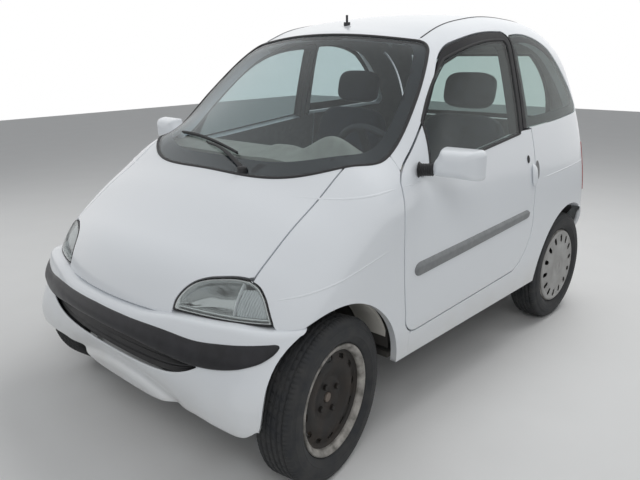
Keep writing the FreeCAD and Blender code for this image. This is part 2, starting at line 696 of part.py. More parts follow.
# Floor with the bulkhead, and a house over each wheel, fitted inside the skin
room = body_form(size.top_wall + fit, size.side_wall + fit, size.sill_height - 60)
clear_room = body_form(size.top_wall + 8, size.side_wall + 8, size.sill_height - 60)
floor_front = size.bulkhead_along - size.floor_wall
floor_slab = box(-FAR, FAR, floor_front, size.floor_end, size.sill_height, floor_top)
bulkhead = box(-FAR, FAR, floor_front, size.bulkhead_along, size.sill_height, up(885))
wheel_rooms = []
houses = []
for place, radius, inside in ((rear_axle, arch_radius, size.rear_house), (front_arch_along, front_arch, size.front_house)):
    rise = size.front_arch_up if place < 0 else 0
    drum = arch(place, inside, FAR, radius)
    open_below = box(inside, FAR, place - radius, place + radius, 0, tyre_radius + rise)
    wheel_rooms.append(arch(place, inside - size.house_wall, FAR, radius + size.house_wall).fuse(
        box(inside - size.house_wall, FAR, place - radius - size.house_wall, place + radius + size.house_wall, 0,
            tyre_radius + rise)))
    house = wheel_rooms[-1].common(box(-FAR, FAR, -FAR, FAR, size.sill_height, FAR)).cut(drum).cut(open_below)
    houses.append(house)
both_rooms = wheel_rooms[0].fuse(wheel_rooms[1])
both_rooms = both_rooms.fuse(both_rooms.mirror(Vector(), Vector(1, 0, 0)))
floor_pan = node("floor_pan", feature("floor_pan", largest(floor_slab.fuse(bulkhead).common(room).cut(both_rooms))))
front_wall = box(0, FAR, -FAR, floor_front, 0, FAR)
ledge_zone = box(-FAR, FAR, -FAR, FAR, size.bumper_height - wall - fit, size.bumper_height + fit)
ledge_zone = ledge_zone.cut(plan(0, FAR, 60 + fit))
rear_inner = houses[0].common(room).cut(bumper_zone(REAR_LEVELS, along(800))).cut(ledge_zone.common(rear_part))
front_inner = houses[1].common(room).common(box(-FAR, FAR, -FAR, size.wheel_liner_end, 0, FAR))
front_inner = front_inner.cut(box(0, size.front_house, -FAR, FAR, 0, FAR)).common(front_wall)
front_inner = front_inner.cut(bumper_zone(FRONT_LEVELS, along(-800))).cut(ledge_zone)
house_solids = [largest(rear_inner), largest(front_inner)]
house_solids += [h.mirror(Vector(), Vector(1, 0, 0)) for h in house_solids]
wheelhouses = node("wheelhouses", feature("wheelhouses", Part.makeCompound(house_solids)))

# Inner wings with the shelves that the front struts push against
INNER_WING = [
    ("start", (-561, 400)),
    ("line", (-1085, 400)),
    ("line", (-1085, 520)),
    ("line", (-1000, 600)),
    ("line", (-920, 702)),
    ("line", (-561, 760)),
]
ball = Vector(size.ball_across, front_axle, size.ball_height)
strut_top = Vector(size.strut_top_across, front_axle, size.strut_top)
steer_way = (strut_top - ball).normalize()
wing_face = size.inner_wing_across
inner_wing = prism(INNER_WING, "side", wing_face - 10, wing_face)
shelf_low = size.strut_top + 8
shelf = box(wing_face, 560, front_axle - 55, front_axle + 45, shelf_low, shelf_low + 12)
seat_ring = Part.makeCylinder(size.bearing_radius, 16, strut_top + steer_way * fit, steer_way)
inner_wing = inner_wing.fuse(shelf.common(room)).fuse(seat_ring)
inner_wings = node("inner_wings", pair("inner_wings_pair", feature("inner_wing", largest(inner_wing))))

# Chassis: two rails with a towing lug at each end of one and jacking pads below, and cross-members between them
RAIL_TOP = "(Dims.sill_height - Dims.fit_gap)"
RAIL_LOW = f"({RAIL_TOP} - Dims.rail_height)"
JACK_PLACES = (-470, 470)
LUG_PLACES = (-1150, 1140)
MEMBER_PLACES = (-1110, -960, -740, -580, 120, 700, 1080)
shaft_way = rod("shaft_way", "Dims.shaft_radius + 10", "2 * Dims.rail_half + 2 * Dims.rail_width",
                "-Dims.rail_half - Dims.rail_width", FRONT_AXLE, TYRE_RADIUS, ACROSS)
lugs = []
for i, place in enumerate(LUG_PLACES):
    inboard = 1 if place < 0 else -1
    middle = f"{place} * {LENGTH_STRETCH}"
    bar = block(f"lug_bar_{i}", "Dims.rail_half", f"{middle} + {inboard * 15} - 40", f"{RAIL_LOW} - 65",
                "Dims.lug_wall", "80", "50")
    foot = block(f"lug_foot_{i}", "Dims.rail_half", f"{middle} + {inboard * 42.5} - 12.5", f"{RAIL_LOW} - 65",
                 "Dims.lug_wall", "25", "80")
    hole = rod(f"lug_hole_{i}", "Dims.tow_hole / 2", "Dims.lug_wall + 10",
               "Dims.rail_half - Dims.lug_wall / 2 - 5", middle, f"{RAIL_LOW} - 40", ACROSS)
    lugs.append(cut(f"lug_{i}", fused(f"lug_plate_{i}", bar, foot), hole))
rails = []
for word, side, extra in (("left", 1, lugs), ("right", -1, [])):
    bar = block(f"rail_bar_{word}", f"({side} * Dims.rail_half)", "-1125", RAIL_LOW, "Dims.rail_width", "2250",
                "Dims.rail_height")
    pads = [rod(f"pad_{word}_{i}", "30", "15", f"({side} * Dims.rail_half)", f"{place} * {LENGTH_STRETCH}",
                f"{RAIL_LOW} - 12") for i, place in enumerate(JACK_PLACES)]
    rails.append(cut(f"rail_{word}", fused(f"rail_whole_{word}", bar, *pads, *extra), shaft_way))
chassis_rails = doc.addObject("Part::Compound", "chassis_rails")
chassis_rails.Links = rails
node("chassis_rails", chassis_rails)
cross_members = doc.addObject("Part::Compound", "cross_members")
cross_members.Links = [
    block(f"member_{i}", "0", f"{place} * {LENGTH_STRETCH}", RAIL_LOW,
          "2 * Dims.rail_half - Dims.rail_width - 2 * Dims.fit_gap", "45", "Dims.rail_height")
    for i, place in enumerate(MEMBER_PLACES)]
node("cross_members", cross_members)

engine = node("engine_block", block("engine_block", "0", "Dims.engine_front", "Dims.sill_height",
                                    "Dims.engine_width", "Dims.engine_length", "Dims.engine_height"))

# Front suspension: lower arms, drive shafts, steering rack
def between(a, b, radius):
    """A round bar from one point to another."""
    span = b - a
    return Part.makeCylinder(radius, span.Length, a, span)


arm_front = Vector(size.rail_half - 60, front_axle - 75, size.ball_height + 30)
arm_rear = Vector(size.rail_half - 60, front_axle + 75, size.ball_height + 30)
arm_end = ball - steer_way * (size.ball_radius + size.arm_radius + 8)
arm_shape = between(arm_front, arm_end, size.arm_radius).fuse(between(arm_rear, arm_end, size.arm_radius))
cup_tall = size.ball_radius + 2
arm_shape = arm_shape.fuse(Part.makeCylinder(
    size.ball_radius + 4, cup_tall, ball - steer_way * (size.ball_radius + fit + cup_tall), steer_way))
bracket_top = size.sill_height - size.rail_height - 2 * fit
for foot in (arm_front, arm_rear):
    arm_shape = arm_shape.fuse(box(foot.x - 10, foot.x + 75, foot.y - 18, foot.y + 18, foot.z - 18, bracket_top))
arm_feature = feature("front_arm", largest(arm_shape))
front_arms = node("front_arms", pair("front_arms_pair", arm_feature))

shaft = rod("drive_shaft", "Dims.shaft_radius", "Dims.front_house - Dims.engine_width / 2 - Dims.fit_gap",
            "Dims.engine_width / 2 + Dims.fit_gap", FRONT_AXLE, TYRE_RADIUS, ACROSS)
node("drive_shafts", pair("drive_shafts_pair", shaft))
rack = rod("rack_tube", "Dims.rack_radius", "2 * Dims.rack_half", "-Dims.rack_half", "Dims.rack_along",
           "Dims.rack_height", ACROSS)
brackets = [block(f"rack_foot_{word}", f"{side} * Dims.rack_foot", "Dims.rack_along", "Dims.rack_height - 10", "40",
                  "Dims.bulkhead_along - Dims.floor_wall - Dims.rack_along - Dims.fit_gap", "20")
            for word, side in (("left", 1), ("right", -1))]
node("steering_rack", fused("steering_rack", rack, *brackets))

# Front knuckle with its strut, ball joint and spindle, pointing straight ahead
hub_face = front_tyre_middle - size.hub_in
axle_left = Vector(hub_face, front_axle, tyre_radius)
plate = Part.makeCylinder(50, size.knuckle_wall, axle_left + Vector(-1 - size.knuckle_wall, 0, 0), Vector(1, 0, 0))
spindle = Part.makeCylinder(size.spindle_radius, size.hub_in + size.hub_out + 2, axle_left + Vector(-2, 0, 0),
                            Vector(1, 0, 0))
leg = box(hub_face - 1 - size.knuckle_wall, hub_face - 1, front_axle - 15, front_axle + 15, size.ball_height, tyre_radius)
socket = Part.makeCylinder(size.ball_radius, 2 * size.ball_radius, ball - steer_way * size.ball_radius, steer_way)
clamp = box(strut_top.x - 12, hub_face - 1, front_axle - 16, front_axle + 16, 300, 345)
strut = between(Vector(strut_top.x + 5, front_axle, 300), strut_top - steer_way * 14, size.strut_radius)
bearing = Part.makeCylinder(size.bearing_radius, 16, strut_top - steer_way * 16, steer_way)
knuckle_shape = plate.fuse(spindle).fuse(leg).fuse(socket).fuse(clamp).fuse(strut).fuse(bearing)


def steered(name, shape, side):
    """A left front piece turned to the parked steering angle, or its right twin."""
    moved = shape.copy()
    if side < 0:
        moved = moved.mirror(Vector(), Vector(1, 0, 0))
    top = Vector(side * strut_top.x, strut_top.y, strut_top.z)
    low = Vector(side * ball.x, ball.y, ball.z)
    moved.rotate(top, top - low, size.steer_parked)
    return node(name, feature(name, moved))


knuckle_left = steered("knuckle_left", largest(knuckle_shape), 1)
knuckle_right = steered("knuckle_right", largest(knuckle_shape), -1)


def turned(name, points):
    """A body turned round X from a closed outline of (along the axis, radius) formulas."""
    body = doc.addObject("PartDesign::Body", name)
    sketch = body.newObject("Sketcher::SketchObject", name + "_outline")
    plane = next(f for f in body.Origin.OriginFeatures if f.Role == "XY_Plane")
    sketch.AttachmentSupport = [(plane, "")]
    sketch.MapMode = "FlatFace"
    places = [(evaluate(a), evaluate(b)) for a, b in points]
    for i, (a, b) in enumerate(places):
        c, d = places[(i + 1) % len(places)]
        sketch.addGeometry(Part.LineSegment(Vector(a, b, 0), Vector(c, d, 0)))
    for i in range(len(places)):
        sketch.addConstraint(Sketcher.Constraint("Coincident", i, 2, (i + 1) % len(places), 1))
    for i, (a, b) in enumerate(points):
        for kind, value, formula in (("DistanceX", places[i][0], a), ("DistanceY", places[i][1], b)):
            at = sketch.addConstraint(Sketcher.Constraint(kind, -1, 1, i, 1, value))
            sketch.setExpression(f"Constraints[{at}]", formula)
    turn = body.newObject("PartDesign::Revolution", name + "_turn")
    turn.Profile = sketch
    turn.ReferenceAxis = (sketch, ["H_Axis"])
    turn.Angle = 360
    return body


def evaluate(formula):
    """The number that a formula on the sheet gives."""
    return float(sheet.evalExpression(formula.replace("Dims.", "")))


RIM_HALF = "Dims.rim_width / 2"
SEAT = "Dims.rim_diameter / 2"
LIP = f"({SEAT} + Dims.rim_lip)"
BARREL = f"({SEAT} - Dims.rim_wall)"
BORE = "(Dims.spindle_radius + Dims.running_gap)"
wheel = turned("wheel_form", [
    (f"-({RIM_HALF})", LIP),
    (f"Dims.rim_flange - {RIM_HALF}", LIP),
    (f"Dims.rim_flange - {RIM_HALF}", SEAT),
    (f"{RIM_HALF} - Dims.rim_flange", SEAT),
    (f"{RIM_HALF} - Dims.rim_flange", LIP),
    (RIM_HALF, LIP),
    (RIM_HALF, f"{LIP} - Dims.rim_flange"),
    (f"{RIM_HALF} - Dims.rim_flange", BARREL),
    ("Dims.disc_out + 4", BARREL),
    ("Dims.disc_out", f"{BARREL} - 18"),
    ("Dims.disc_out + 4", "Dims.hub_radius + 38"),
    ("Dims.hub_out", "Dims.hub_radius"),
    ("Dims.hub_out", BORE),
    ("-Dims.hub_in", BORE),
    ("-Dims.hub_in", "Dims.hub_radius"),
    ("Dims.hub_out - Dims.rim_wall", "Dims.hub_radius"),
    ("Dims.disc_out + 4 - Dims.rim_wall", "Dims.hub_radius + 38"),
    ("Dims.disc_out - Dims.rim_wall", f"{BARREL} - 18"),
    ("Dims.disc_out + 4 - Dims.rim_wall", BARREL),
    (f"-({RIM_HALF})", BARREL),
])


def tyre_form():
    """A tyre about the X axis, filled, with bulged walls and round shoulders."""
    seat = size.rim_diameter / 2 + fit
    lip = seat + size.rim_lip
    bead = size.rim_width / 2 - size.rim_flange - fit
    wall, tread = size.tyre_width / 2, tyre_radius
    middle = (lip + tread) / 2
    half = [
        Part.LineSegment(Vector(0, seat, 0), Vector(bead, seat, 0)).toShape(),
        Part.LineSegment(Vector(bead, seat, 0), Vector(bead, lip + fit, 0)).toShape(),
        arc(Vector(bead, lip + fit, 0), Vector(wall, middle, 0), Vector(wall - 9, tread - 18, 0)),
        arc(Vector(wall - 9, tread - 18, 0), Vector(wall - 15, tread - 6, 0), Vector(wall - 26, tread, 0)),
        Part.LineSegment(Vector(wall - 26, tread, 0), Vector(0, tread, 0)).toShape(),
    ]
    whole = half + [e.mirror(Vector(), Vector(1, 0, 0)) for e in half]
    face = Part.Face(Part.Wire(Part.__sortEdges__(whole)))
    return face.revolve(Vector(), Vector(1, 0, 0), 360)


doc.recompute()
rim_shape = wheel.Shape.copy()
tyre_shape = tyre_form()


def at_hub(shape, x, y):
    moved = shape.copy()
    moved.translate(Vector(x, y, tyre_radius))
    return moved


front_rim, front_tyre = (at_hub(s, front_tyre_middle, front_axle) for s in (rim_shape, tyre_shape))
rear_rim, rear_tyre = (at_hub(s, rear_tyre_middle, rear_axle) for s in (rim_shape, tyre_shape))
for side, word in ((1, "left"), (-1, "right")):
    steered(f"wheel_front_{word}", front_rim, side)
    steered(f"tyre_front_{word}", front_tyre, side)

# Domed plastic cover over the outer face of a rear wheel
cover_base = size.rim_width / 2 + fit
dome = size.cover_depth
ball_radius = (size.cover_radius ** 2 + dome ** 2) / (2 * dome)
cover_shape = Part.makeSphere(ball_radius, Vector(cover_base + dome - ball_radius, 0, 0))
cover_shape = cover_shape.common(box(cover_base, cover_base + 2 * dome, -FAR, FAR, -FAR, FAR))
rear_left = {
    "wheel_rear": feature("rear_rim", rear_rim),
    "tyre_rear": feature("rear_tyre", rear_tyre),
    "cover_rear": feature("rear_cover", at_hub(cover_shape, rear_tyre_middle, rear_axle)),
}
for name, obj in rear_left.items():
    node(f"{name}_left", obj)
    node(f"{name}_right", mirrored(f"{name}_right", obj))

# Rear suspension: a trailing arm, stub axle and damper on each side
RAIL_FACE = "(Dims.rail_half + Dims.rail_width / 2)"
ARM_LOW = "Dims.rear_arm_low"
arm_bar = block("arm_bar", "Dims.rear_arm_across", "Dims.rear_pivot_along - 20", ARM_LOW, "Dims.rear_arm_width",
                f"{REAR_AXLE} - Dims.rear_pivot_along + 65", "56")
arm_post = block("arm_post", "Dims.rear_arm_across", f"{REAR_AXLE} - 30", ARM_LOW, "Dims.rear_arm_width", "60",
                 f"{TYRE_RADIUS} - {ARM_LOW} + 45")
arm_pivot = rod("arm_pivot", "22", f"Dims.rear_arm_across - {RAIL_FACE}", f"{RAIL_FACE} + Dims.fit_gap",
                "Dims.rear_pivot_along", f"{ARM_LOW} + 30", ACROSS)
STUB_START = "(Dims.rear_arm_across + 12)"
stub = rod("stub", "Dims.spindle_radius", f"{REAR_TYRE} + Dims.hub_out - {STUB_START}", STUB_START, REAR_AXLE,
           TYRE_RADIUS, ACROSS)
stub_flange = rod("stub_flange", "42", f"{REAR_TYRE} - Dims.hub_in - 1 - {STUB_START}", STUB_START, REAR_AXLE,
                  TYRE_RADIUS, ACROSS)
damper = rod("damper", "Dims.strut_radius", "Dims.rear_arch_radius - 44 - Dims.fit_gap - 3", "Dims.rear_arm_across",
             REAR_AXLE, f"{TYRE_RADIUS} + 44")
rear_arm = fused("rear_arm", arm_bar, arm_post, arm_pivot, stub, stub_flange, damper)
doc.recompute()
rear_arms = node("rear_arms", pair("rear_arms_pair", rear_arm))

silencer_body = rod("silencer_body", "Dims.silencer_diameter / 2", "Dims.silencer_length", "-Dims.silencer_length / 2 - 20",
                    "Dims.silencer_along", "Dims.sill_height - Dims.silencer_diameter / 2 - 5", ACROSS)
tail_pipe = rod("tail_pipe", "18", "180", "-Dims.silencer_length / 2 + 20", "Dims.silencer_along",
                "Dims.sill_height - Dims.silencer_diameter / 2 - 20", LENGTHWISE)
hanger = block("hanger", "-20", "Dims.silencer_along - 15", "Dims.sill_height - 30", "40", "30", "30 - Dims.fit_gap")
node("silencer", fused("silencer", silencer_body, tail_pipe, hanger))

# Cabin
def plain_outline(steps):
    """A side outline in the script's own units, not stretched with the body."""
    here = Vector(0, *steps[0][1])
    first, edges = here, []
    for step in steps[1:]:
        end = Vector(0, *step[-1])
        edges.append(arc(here, Vector(0, *step[1]), end) if step[0] == "arc" else Part.LineSegment(here, end).toShape())
        here = end
    edges.append(Part.LineSegment(here, first).toShape())
    return Part.Face(Part.Wire(edges))


dash_front = size.bulkhead_along + fit
DASH = [
    ("start", (dash_front, size.dash_top - 250)),
    ("line", (dash_front, size.dash_top - 35)),
    ("arc", (size.dash_back - 105, size.dash_top), (size.dash_back - 25, size.dash_top - 25)),
    ("arc", (size.dash_back, size.dash_top - 50), (size.dash_back - 5, size.dash_top - 90)),
    ("line", (size.dash_back - 65, size.dash_top - 250)),
]
HOOD = [
    ("start", (size.dash_back - 185, size.dash_top - 50)),
    ("line", (size.dash_back - 185, size.dash_top + 35)),
    ("arc", (size.dash_back - 135, size.dash_top + 68), (size.dash_back - 65, size.dash_top + 58)),
    ("line", (size.dash_back - 50, size.dash_top - 50)),
]


def side_bar(steps, x1, x2):
    """A solid with a side outline in plain millimetres, from x1 to x2."""
    bar = plain_outline(steps).extrude(Vector(x2 - x1, 0, 0))
    bar.translate(Vector(x1, 0, 0))
    return bar


dash_shape = side_bar(DASH, -640, 640).fuse(side_bar(HOOD, size.seat_middle - 140, size.seat_middle + 150))
dashboard = node("dashboard", feature("dashboard", largest(dash_shape.common(clear_room))))

wheel_centre = Vector(size.seat_middle, -215, 880)
column_slope = 25
column_way = Vector(0, math.cos(math.radians(column_slope)), math.sin(math.radians(column_slope)))
ring = Part.makeTorus((size.steering_wheel_diameter - size.steering_rim) / 2, size.steering_rim / 2)
steering_shape = ring.fuse(Part.makeCylinder(42, 40, Vector(0, 0, -30)))
for angle in (0, 90, 180, 270):
    if angle != 90:
        spoke = box(20, size.steering_wheel_diameter / 2 - size.steering_rim / 2, -16, 16, -16, -4)
        spoke.rotate(Vector(), Vector(0, 0, 1), angle)
        steering_shape = steering_shape.fuse(spoke)
facing = Placement(wheel_centre, Rotation(Vector(0, 0, 1), column_way))
steering_shape.Placement = facing
steering_wheel = node("steering_wheel", feature("steering_wheel", largest(steering_shape)))
column_end = wheel_centre - column_way * 30.5
column_shape = between(column_end, column_end - column_way * 330, 24)
column_shape = column_shape.common(box(-FAR, FAR, size.bulkhead_along + fit, FAR, 0, FAR))
steering_column = node("steering_column", feature("steering_column", largest(column_shape.cut(dashboard.Shape))))

# Seats: a plinth, a cushion, a back and a headrest in one outline
seat_front, seat_long = size.seat_front, size.seat_length
SEAT_SIDE = [
    ("start", (seat_front + 40, floor_top + fit)),
    ("line", (seat_front + 60, floor_top + 110)),
    ("line", (seat_front, floor_top + 125)),
    ("arc", (seat_front - 18, floor_top + 190), (seat_front + 20, floor_top + size.cushion_height)),
    ("line", (seat_front + seat_long - 60, floor_top + size.cushion_height - 35)),
    ("line", (seat_front + seat_long + 45, floor_top + size.cushion_height + 470)),
    ("line", (seat_front + seat_long + 35, floor_top + size.cushion_height + 510)),
    ("arc", (seat_front + seat_long + 60, floor_top + 920), (seat_front + seat_long + 110, floor_top + 915)),
    ("line", (seat_front + seat_long + 135, floor_top + 700)),
    ("line", (seat_front + seat_long + 60, floor_top + 200)),
    ("line", (seat_front + seat_long + 20, floor_top + 90)),
    ("line", (seat_front + seat_long - 30, floor_top + fit)),
]


seat_shape = side_bar(SEAT_SIDE, size.seat_middle - size.seat_width / 2, size.seat_middle + size.seat_width / 2)
head_side = box(-FAR, FAR, -FAR, FAR, floor_top + size.cushion_height + 500, FAR)
narrow = box(size.seat_middle - 130, size.seat_middle + 130, -FAR, FAR, 0, FAR)
seat_shape = seat_shape.cut(head_side.cut(narrow))
seats = node("seats", pair("seats_pair", feature("seat", largest(seat_shape))))

antenna_solid = fused("antenna_solid", rod("antenna_base", "14", "26", "0", "8", "1402"),
                      rod("antenna_stub", "5", "Dims.antenna_height", "0", "8", "1415"))
doc.recompute()
antenna = node("antenna", feature("antenna", largest(antenna_solid.Shape.cut(near))))

for source in (wing_left, side_left, door_left, door_glass_left, rub_left, mirror_left):
    name = source.Label.replace("_left", "_right")
    node(name, mirrored(name, source))

doc.recompute()

failed = [o.Label for o in doc.Objects if {"Invalid", "Error"} & set(o.State)]
if failed:
    raise SystemExit(f"these objects failed: {failed}")
for name, obj in NODES:
    shape = obj.Shape
    if shape.isNull() or not shape.isValid() or not shape.Solids:
        raise SystemExit(f"{name} has no valid shape")
    shape.exportStep(f"parts/{name}.step")
    print(name, len(shape.Solids), round(shape.Volume / 1e6, 3), "l")
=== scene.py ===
import bpy
import json
import math
import numpy as np
from mathutils import Matrix, Vector, geometry


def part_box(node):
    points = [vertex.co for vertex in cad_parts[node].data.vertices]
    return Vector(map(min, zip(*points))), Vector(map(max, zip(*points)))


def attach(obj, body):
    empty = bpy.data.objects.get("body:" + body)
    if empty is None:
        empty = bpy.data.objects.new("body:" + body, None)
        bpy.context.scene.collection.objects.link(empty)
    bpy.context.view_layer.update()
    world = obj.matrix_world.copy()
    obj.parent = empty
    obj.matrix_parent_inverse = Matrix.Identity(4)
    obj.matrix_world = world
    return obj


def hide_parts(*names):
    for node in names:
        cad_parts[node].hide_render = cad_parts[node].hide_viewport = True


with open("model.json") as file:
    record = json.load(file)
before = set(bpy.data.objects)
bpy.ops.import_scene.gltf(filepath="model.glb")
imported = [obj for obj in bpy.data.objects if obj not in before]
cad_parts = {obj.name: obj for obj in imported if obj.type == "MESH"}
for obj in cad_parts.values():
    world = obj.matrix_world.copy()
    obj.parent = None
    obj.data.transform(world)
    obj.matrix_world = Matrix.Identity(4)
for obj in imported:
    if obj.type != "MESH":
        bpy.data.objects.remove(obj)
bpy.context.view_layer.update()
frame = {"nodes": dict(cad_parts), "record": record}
print("stage: frame loaded")

# X points to the car's left, Y to its rear and Z up. Lengths are metres. A left piece is worked out first,
# and its right twin is its mirror image.


# Materials


def newMaterial(name, colour, rough=0.5, metal=0.0, **sockets):
    material = bpy.data.materials.new(name)
    material.use_nodes = True
    shader = material.node_tree.nodes["Principled BSDF"]
    shader.inputs["Base Color"].default_value = (*colour, 1)
    shader.inputs["Roughness"].default_value = rough
    shader.inputs["Metallic"].default_value = metal
    for socket, value in sockets.items():
        shader.inputs[socket].default_value = value
    return material


def addNode(owner, kind, **settings):
    # The owner is a material or the world
    node = owner.node_tree.nodes.new(kind)
    for key, value in settings.items():
        if key in node.inputs:
            node.inputs[key].default_value = value
        else:
            setattr(node, key, value)
    return node


def joinNodes(owner, *pairs):
    for source, target in pairs:
        owner.node_tree.links.new(source, target)


def shaderOf(material):
    return material.node_tree.nodes["Principled BSDF"]


def noiseOn(material, scale, detail=4.0):
    # A noise on the piece's own place, so that it stays with the piece when it moves
    place = addNode(material, "ShaderNodeTexCoord")
    noise = addNode(material, "ShaderNodeTexNoise", Scale=scale, Detail=detail)
    joinNodes(material, (place.outputs["Object"], noise.inputs["Vector"]))
    return noise.outputs["Fac"]


def placeAlong(material, axis, start, end):
    # Goes from 0 to 1 as the place along an axis goes from start to end
    place = addNode(material, "ShaderNodeTexCoord")
    split = addNode(material, "ShaderNodeSeparateXYZ")
    span = addNode(material, "ShaderNodeMapRange", **{"From Min": start, "From Max": end})
    joinNodes(material, (place.outputs["Object"], split.inputs["Vector"]),
              (split.outputs[axis], span.inputs["Value"]))
    return span.outputs["Result"]


def rampOf(material, source, *stops):
    # stops are (place, grey or colour)
    ramp = addNode(material, "ShaderNodeValToRGB")
    band = ramp.color_ramp
    while len(band.elements) < len(stops):
        band.elements.new(0.5)
    for element, (place, value) in zip(band.elements, stops):
        element.position = place
        colour = value if isinstance(value, tuple) else (value, value, value)
        element.color = (*colour, 1)
    joinNodes(material, (source, ramp.inputs["Fac"]))
    return ramp.outputs["Color"]


grainDistance = 0.001


def mottled(name, dark, light, rough, scale, metal=0.0, bump=0.0, bumpScale=300.0, roughSpread=0.08,
            **sockets):
    # A colour that wanders between two tones, with a fine grain
    material = newMaterial(name, light, rough, metal, **sockets)
    shader = shaderOf(material)
    noise = noiseOn(material, scale)
    tone = rampOf(material, noise, (0.3, dark), (0.7, light))
    wear = rampOf(material, noise, (0.25, rough - roughSpread), (0.75, rough + roughSpread))
    joinNodes(material, (tone, shader.inputs["Base Color"]), (wear, shader.inputs["Roughness"]))
    if bump:
        grain = noiseOn(material, bumpScale, 2.0)
        relief = addNode(material, "ShaderNodeBump", Strength=bump, Distance=grainDistance)
        joinNodes(material, (grain, relief.inputs["Height"]),
                  (relief.outputs["Normal"], shader.inputs["Normal"]))
    return material


paintValues = {
    "clean": (0.80, 0.83, 0.86), "dusty": (0.62, 0.60, 0.55), "dustTop": 0.42, "dustLow": 0.20, "rough": 0.28,
    "coat": 0.5, "coatRough": 0.10,
}


def bodyPaint():
    # White gloss paint. Dust gathers low on the body, more where the noise is high.
    v = paintValues
    material = newMaterial("bodyPaint", v["clean"], v["rough"],
                           **{"Coat Weight": v["coat"], "Coat Roughness": v["coatRough"]})
    shader = shaderOf(material)
    low = placeAlong(material, "Z", v["dustTop"], v["dustLow"])
    product = addNode(material, "ShaderNodeMath", operation="MULTIPLY")
    mix = addNode(material, "ShaderNodeMix", data_type="RGBA")
    mix.inputs["A"].default_value = (*v["clean"], 1)
    mix.inputs["B"].default_value = (*v["dusty"], 1)
    film = noiseOn(material, 14.0, 5.0)
    rough = rampOf(material, film, (0.30, v["rough"] - 0.005), (0.80, v["rough"] + 0.005))
    joinNodes(material, (low, product.inputs[0]), (noiseOn(material, 9.0, 6.0), product.inputs[1]),
              (product.outputs["Value"], mix.inputs["Factor"]),
              (mix.outputs["Result"], shader.inputs["Base Color"]),
              (rough, shader.inputs["Roughness"]))
    return material


paint = bodyPaint()
innerTrim = mottled("innerTrim", (0.20, 0.20, 0.20), (0.26, 0.26, 0.25), 0.75, 40, bump=0.2)
blackTrim = mottled("blackTrim", (0.010, 0.010, 0.011), (0.018, 0.018, 0.020), 0.5, 30, bump=0.15,
                    **{"Specular IOR Level": 0.25})
print("stage: materials")


# The body's surface

# Cross-sections of the left half, nose to tail: along, crown height, crown edge across and up,
# side across and up, waist across and up, sill across
bodyStations = np.array([
    (-1.262, 0.640, 0.400, 0.592, 0.600, 0.560, 0.660, 0.500, 0.655),
    (-1.150, 0.702, 0.480, 0.630, 0.636, 0.582, 0.672, 0.510, 0.668),
    (-1.035, 0.760, 0.527, 0.686, 0.662, 0.612, 0.688, 0.530, 0.684),
    (-0.865, 0.858, 0.532, 0.803, 0.686, 0.690, 0.705, 0.600, 0.695),
    (-0.768, 0.913, 0.534, 0.860, 0.691, 0.752, 0.705, 0.640, 0.695),
    (-0.628, 1.017, 0.545, 0.950, 0.689, 0.846, 0.705, 0.680, 0.695),
    (-0.450, 1.150, 0.597, 1.012, 0.672, 0.955, 0.705, 0.700, 0.694),
    (-0.300, 1.262, 0.569, 1.150, 0.642, 1.095, 0.705, 0.700, 0.694),
    (-0.141, 1.376, 0.510, 1.292, 0.600, 1.228, 0.705, 0.700, 0.694),
    (0.000, 1.414, 0.455, 1.375, 0.580, 1.312, 0.705, 0.700, 0.694),
    (0.250, 1.4568, 0.425, 1.432, 0.567, 1.362, 0.705, 0.700, 0.694),
    (0.550, 1.4615, 0.420, 1.438, 0.562, 1.360, 0.704, 0.700, 0.694),
    (0.800, 1.438, 0.410, 1.408, 0.556, 1.318, 0.700, 0.700, 0.690),
    (0.960, 1.390, 0.405, 1.354, 0.556, 1.246, 0.692, 0.700, 0.684),
    (1.060, 1.345, 0.400, 1.307, 0.562, 1.160, 0.682, 0.700, 0.676),
    (1.150, 1.290, 0.400, 1.250, 0.575, 1.030, 0.668, 0.690, 0.664),
    (1.262, 1.210, 0.400, 1.168, 0.615, 0.740, 0.640, 0.600, 0.640),
])
bodyValues = {
    "sill": 0.280,
    "flankBulge": 0.10,  # slope that the flank's bulge adds at its ends
    "shoulderRound": 0.12,
    "noseMiddle": -1.215, "noseBow": 0.329, "noseLean": 0.08, "noseLow": 0.62, "noseRound": 0.13,
    "tailMiddle": 1.228, "tailBow": 0.216, "tailLean": 0.55, "tailLow": 0.85, "tailRound": 0.16,
}


def smoothBetween(knots, values, q):
    # Cubic curve through the knots, its slope at each knot taken from the two beside it
    slopes = np.gradient(values, knots, axis=0)
    i = np.clip(np.searchsorted(knots, q) - 1, 0, len(knots) - 2)
    span = knots[i + 1] - knots[i]
    t = np.clip((q - knots[i]) / span, 0, 1)
    if values.ndim > 1:
        span, t = span[:, None], t[:, None]
    return hermite(t, values[i], values[i + 1], slopes[i] * span, slopes[i + 1] * span)


def hermite(t, a, b, slopeA, slopeB):
    # Cubic from a to b with the given slopes at its ends
    return (a * (2 * t ** 3 - 3 * t ** 2 + 1) + slopeA * (t ** 3 - 2 * t ** 2 + t)
            + b * (3 * t ** 2 - 2 * t ** 3) + slopeB * (t ** 3 - t ** 2))


def softMax(a, b, width):
    # The larger of the two, rounded where they are within width of each other
    blend = np.maximum(width - np.abs(a - b), 0)
    return np.maximum(a, b) + blend ** 2 / (4 * width)


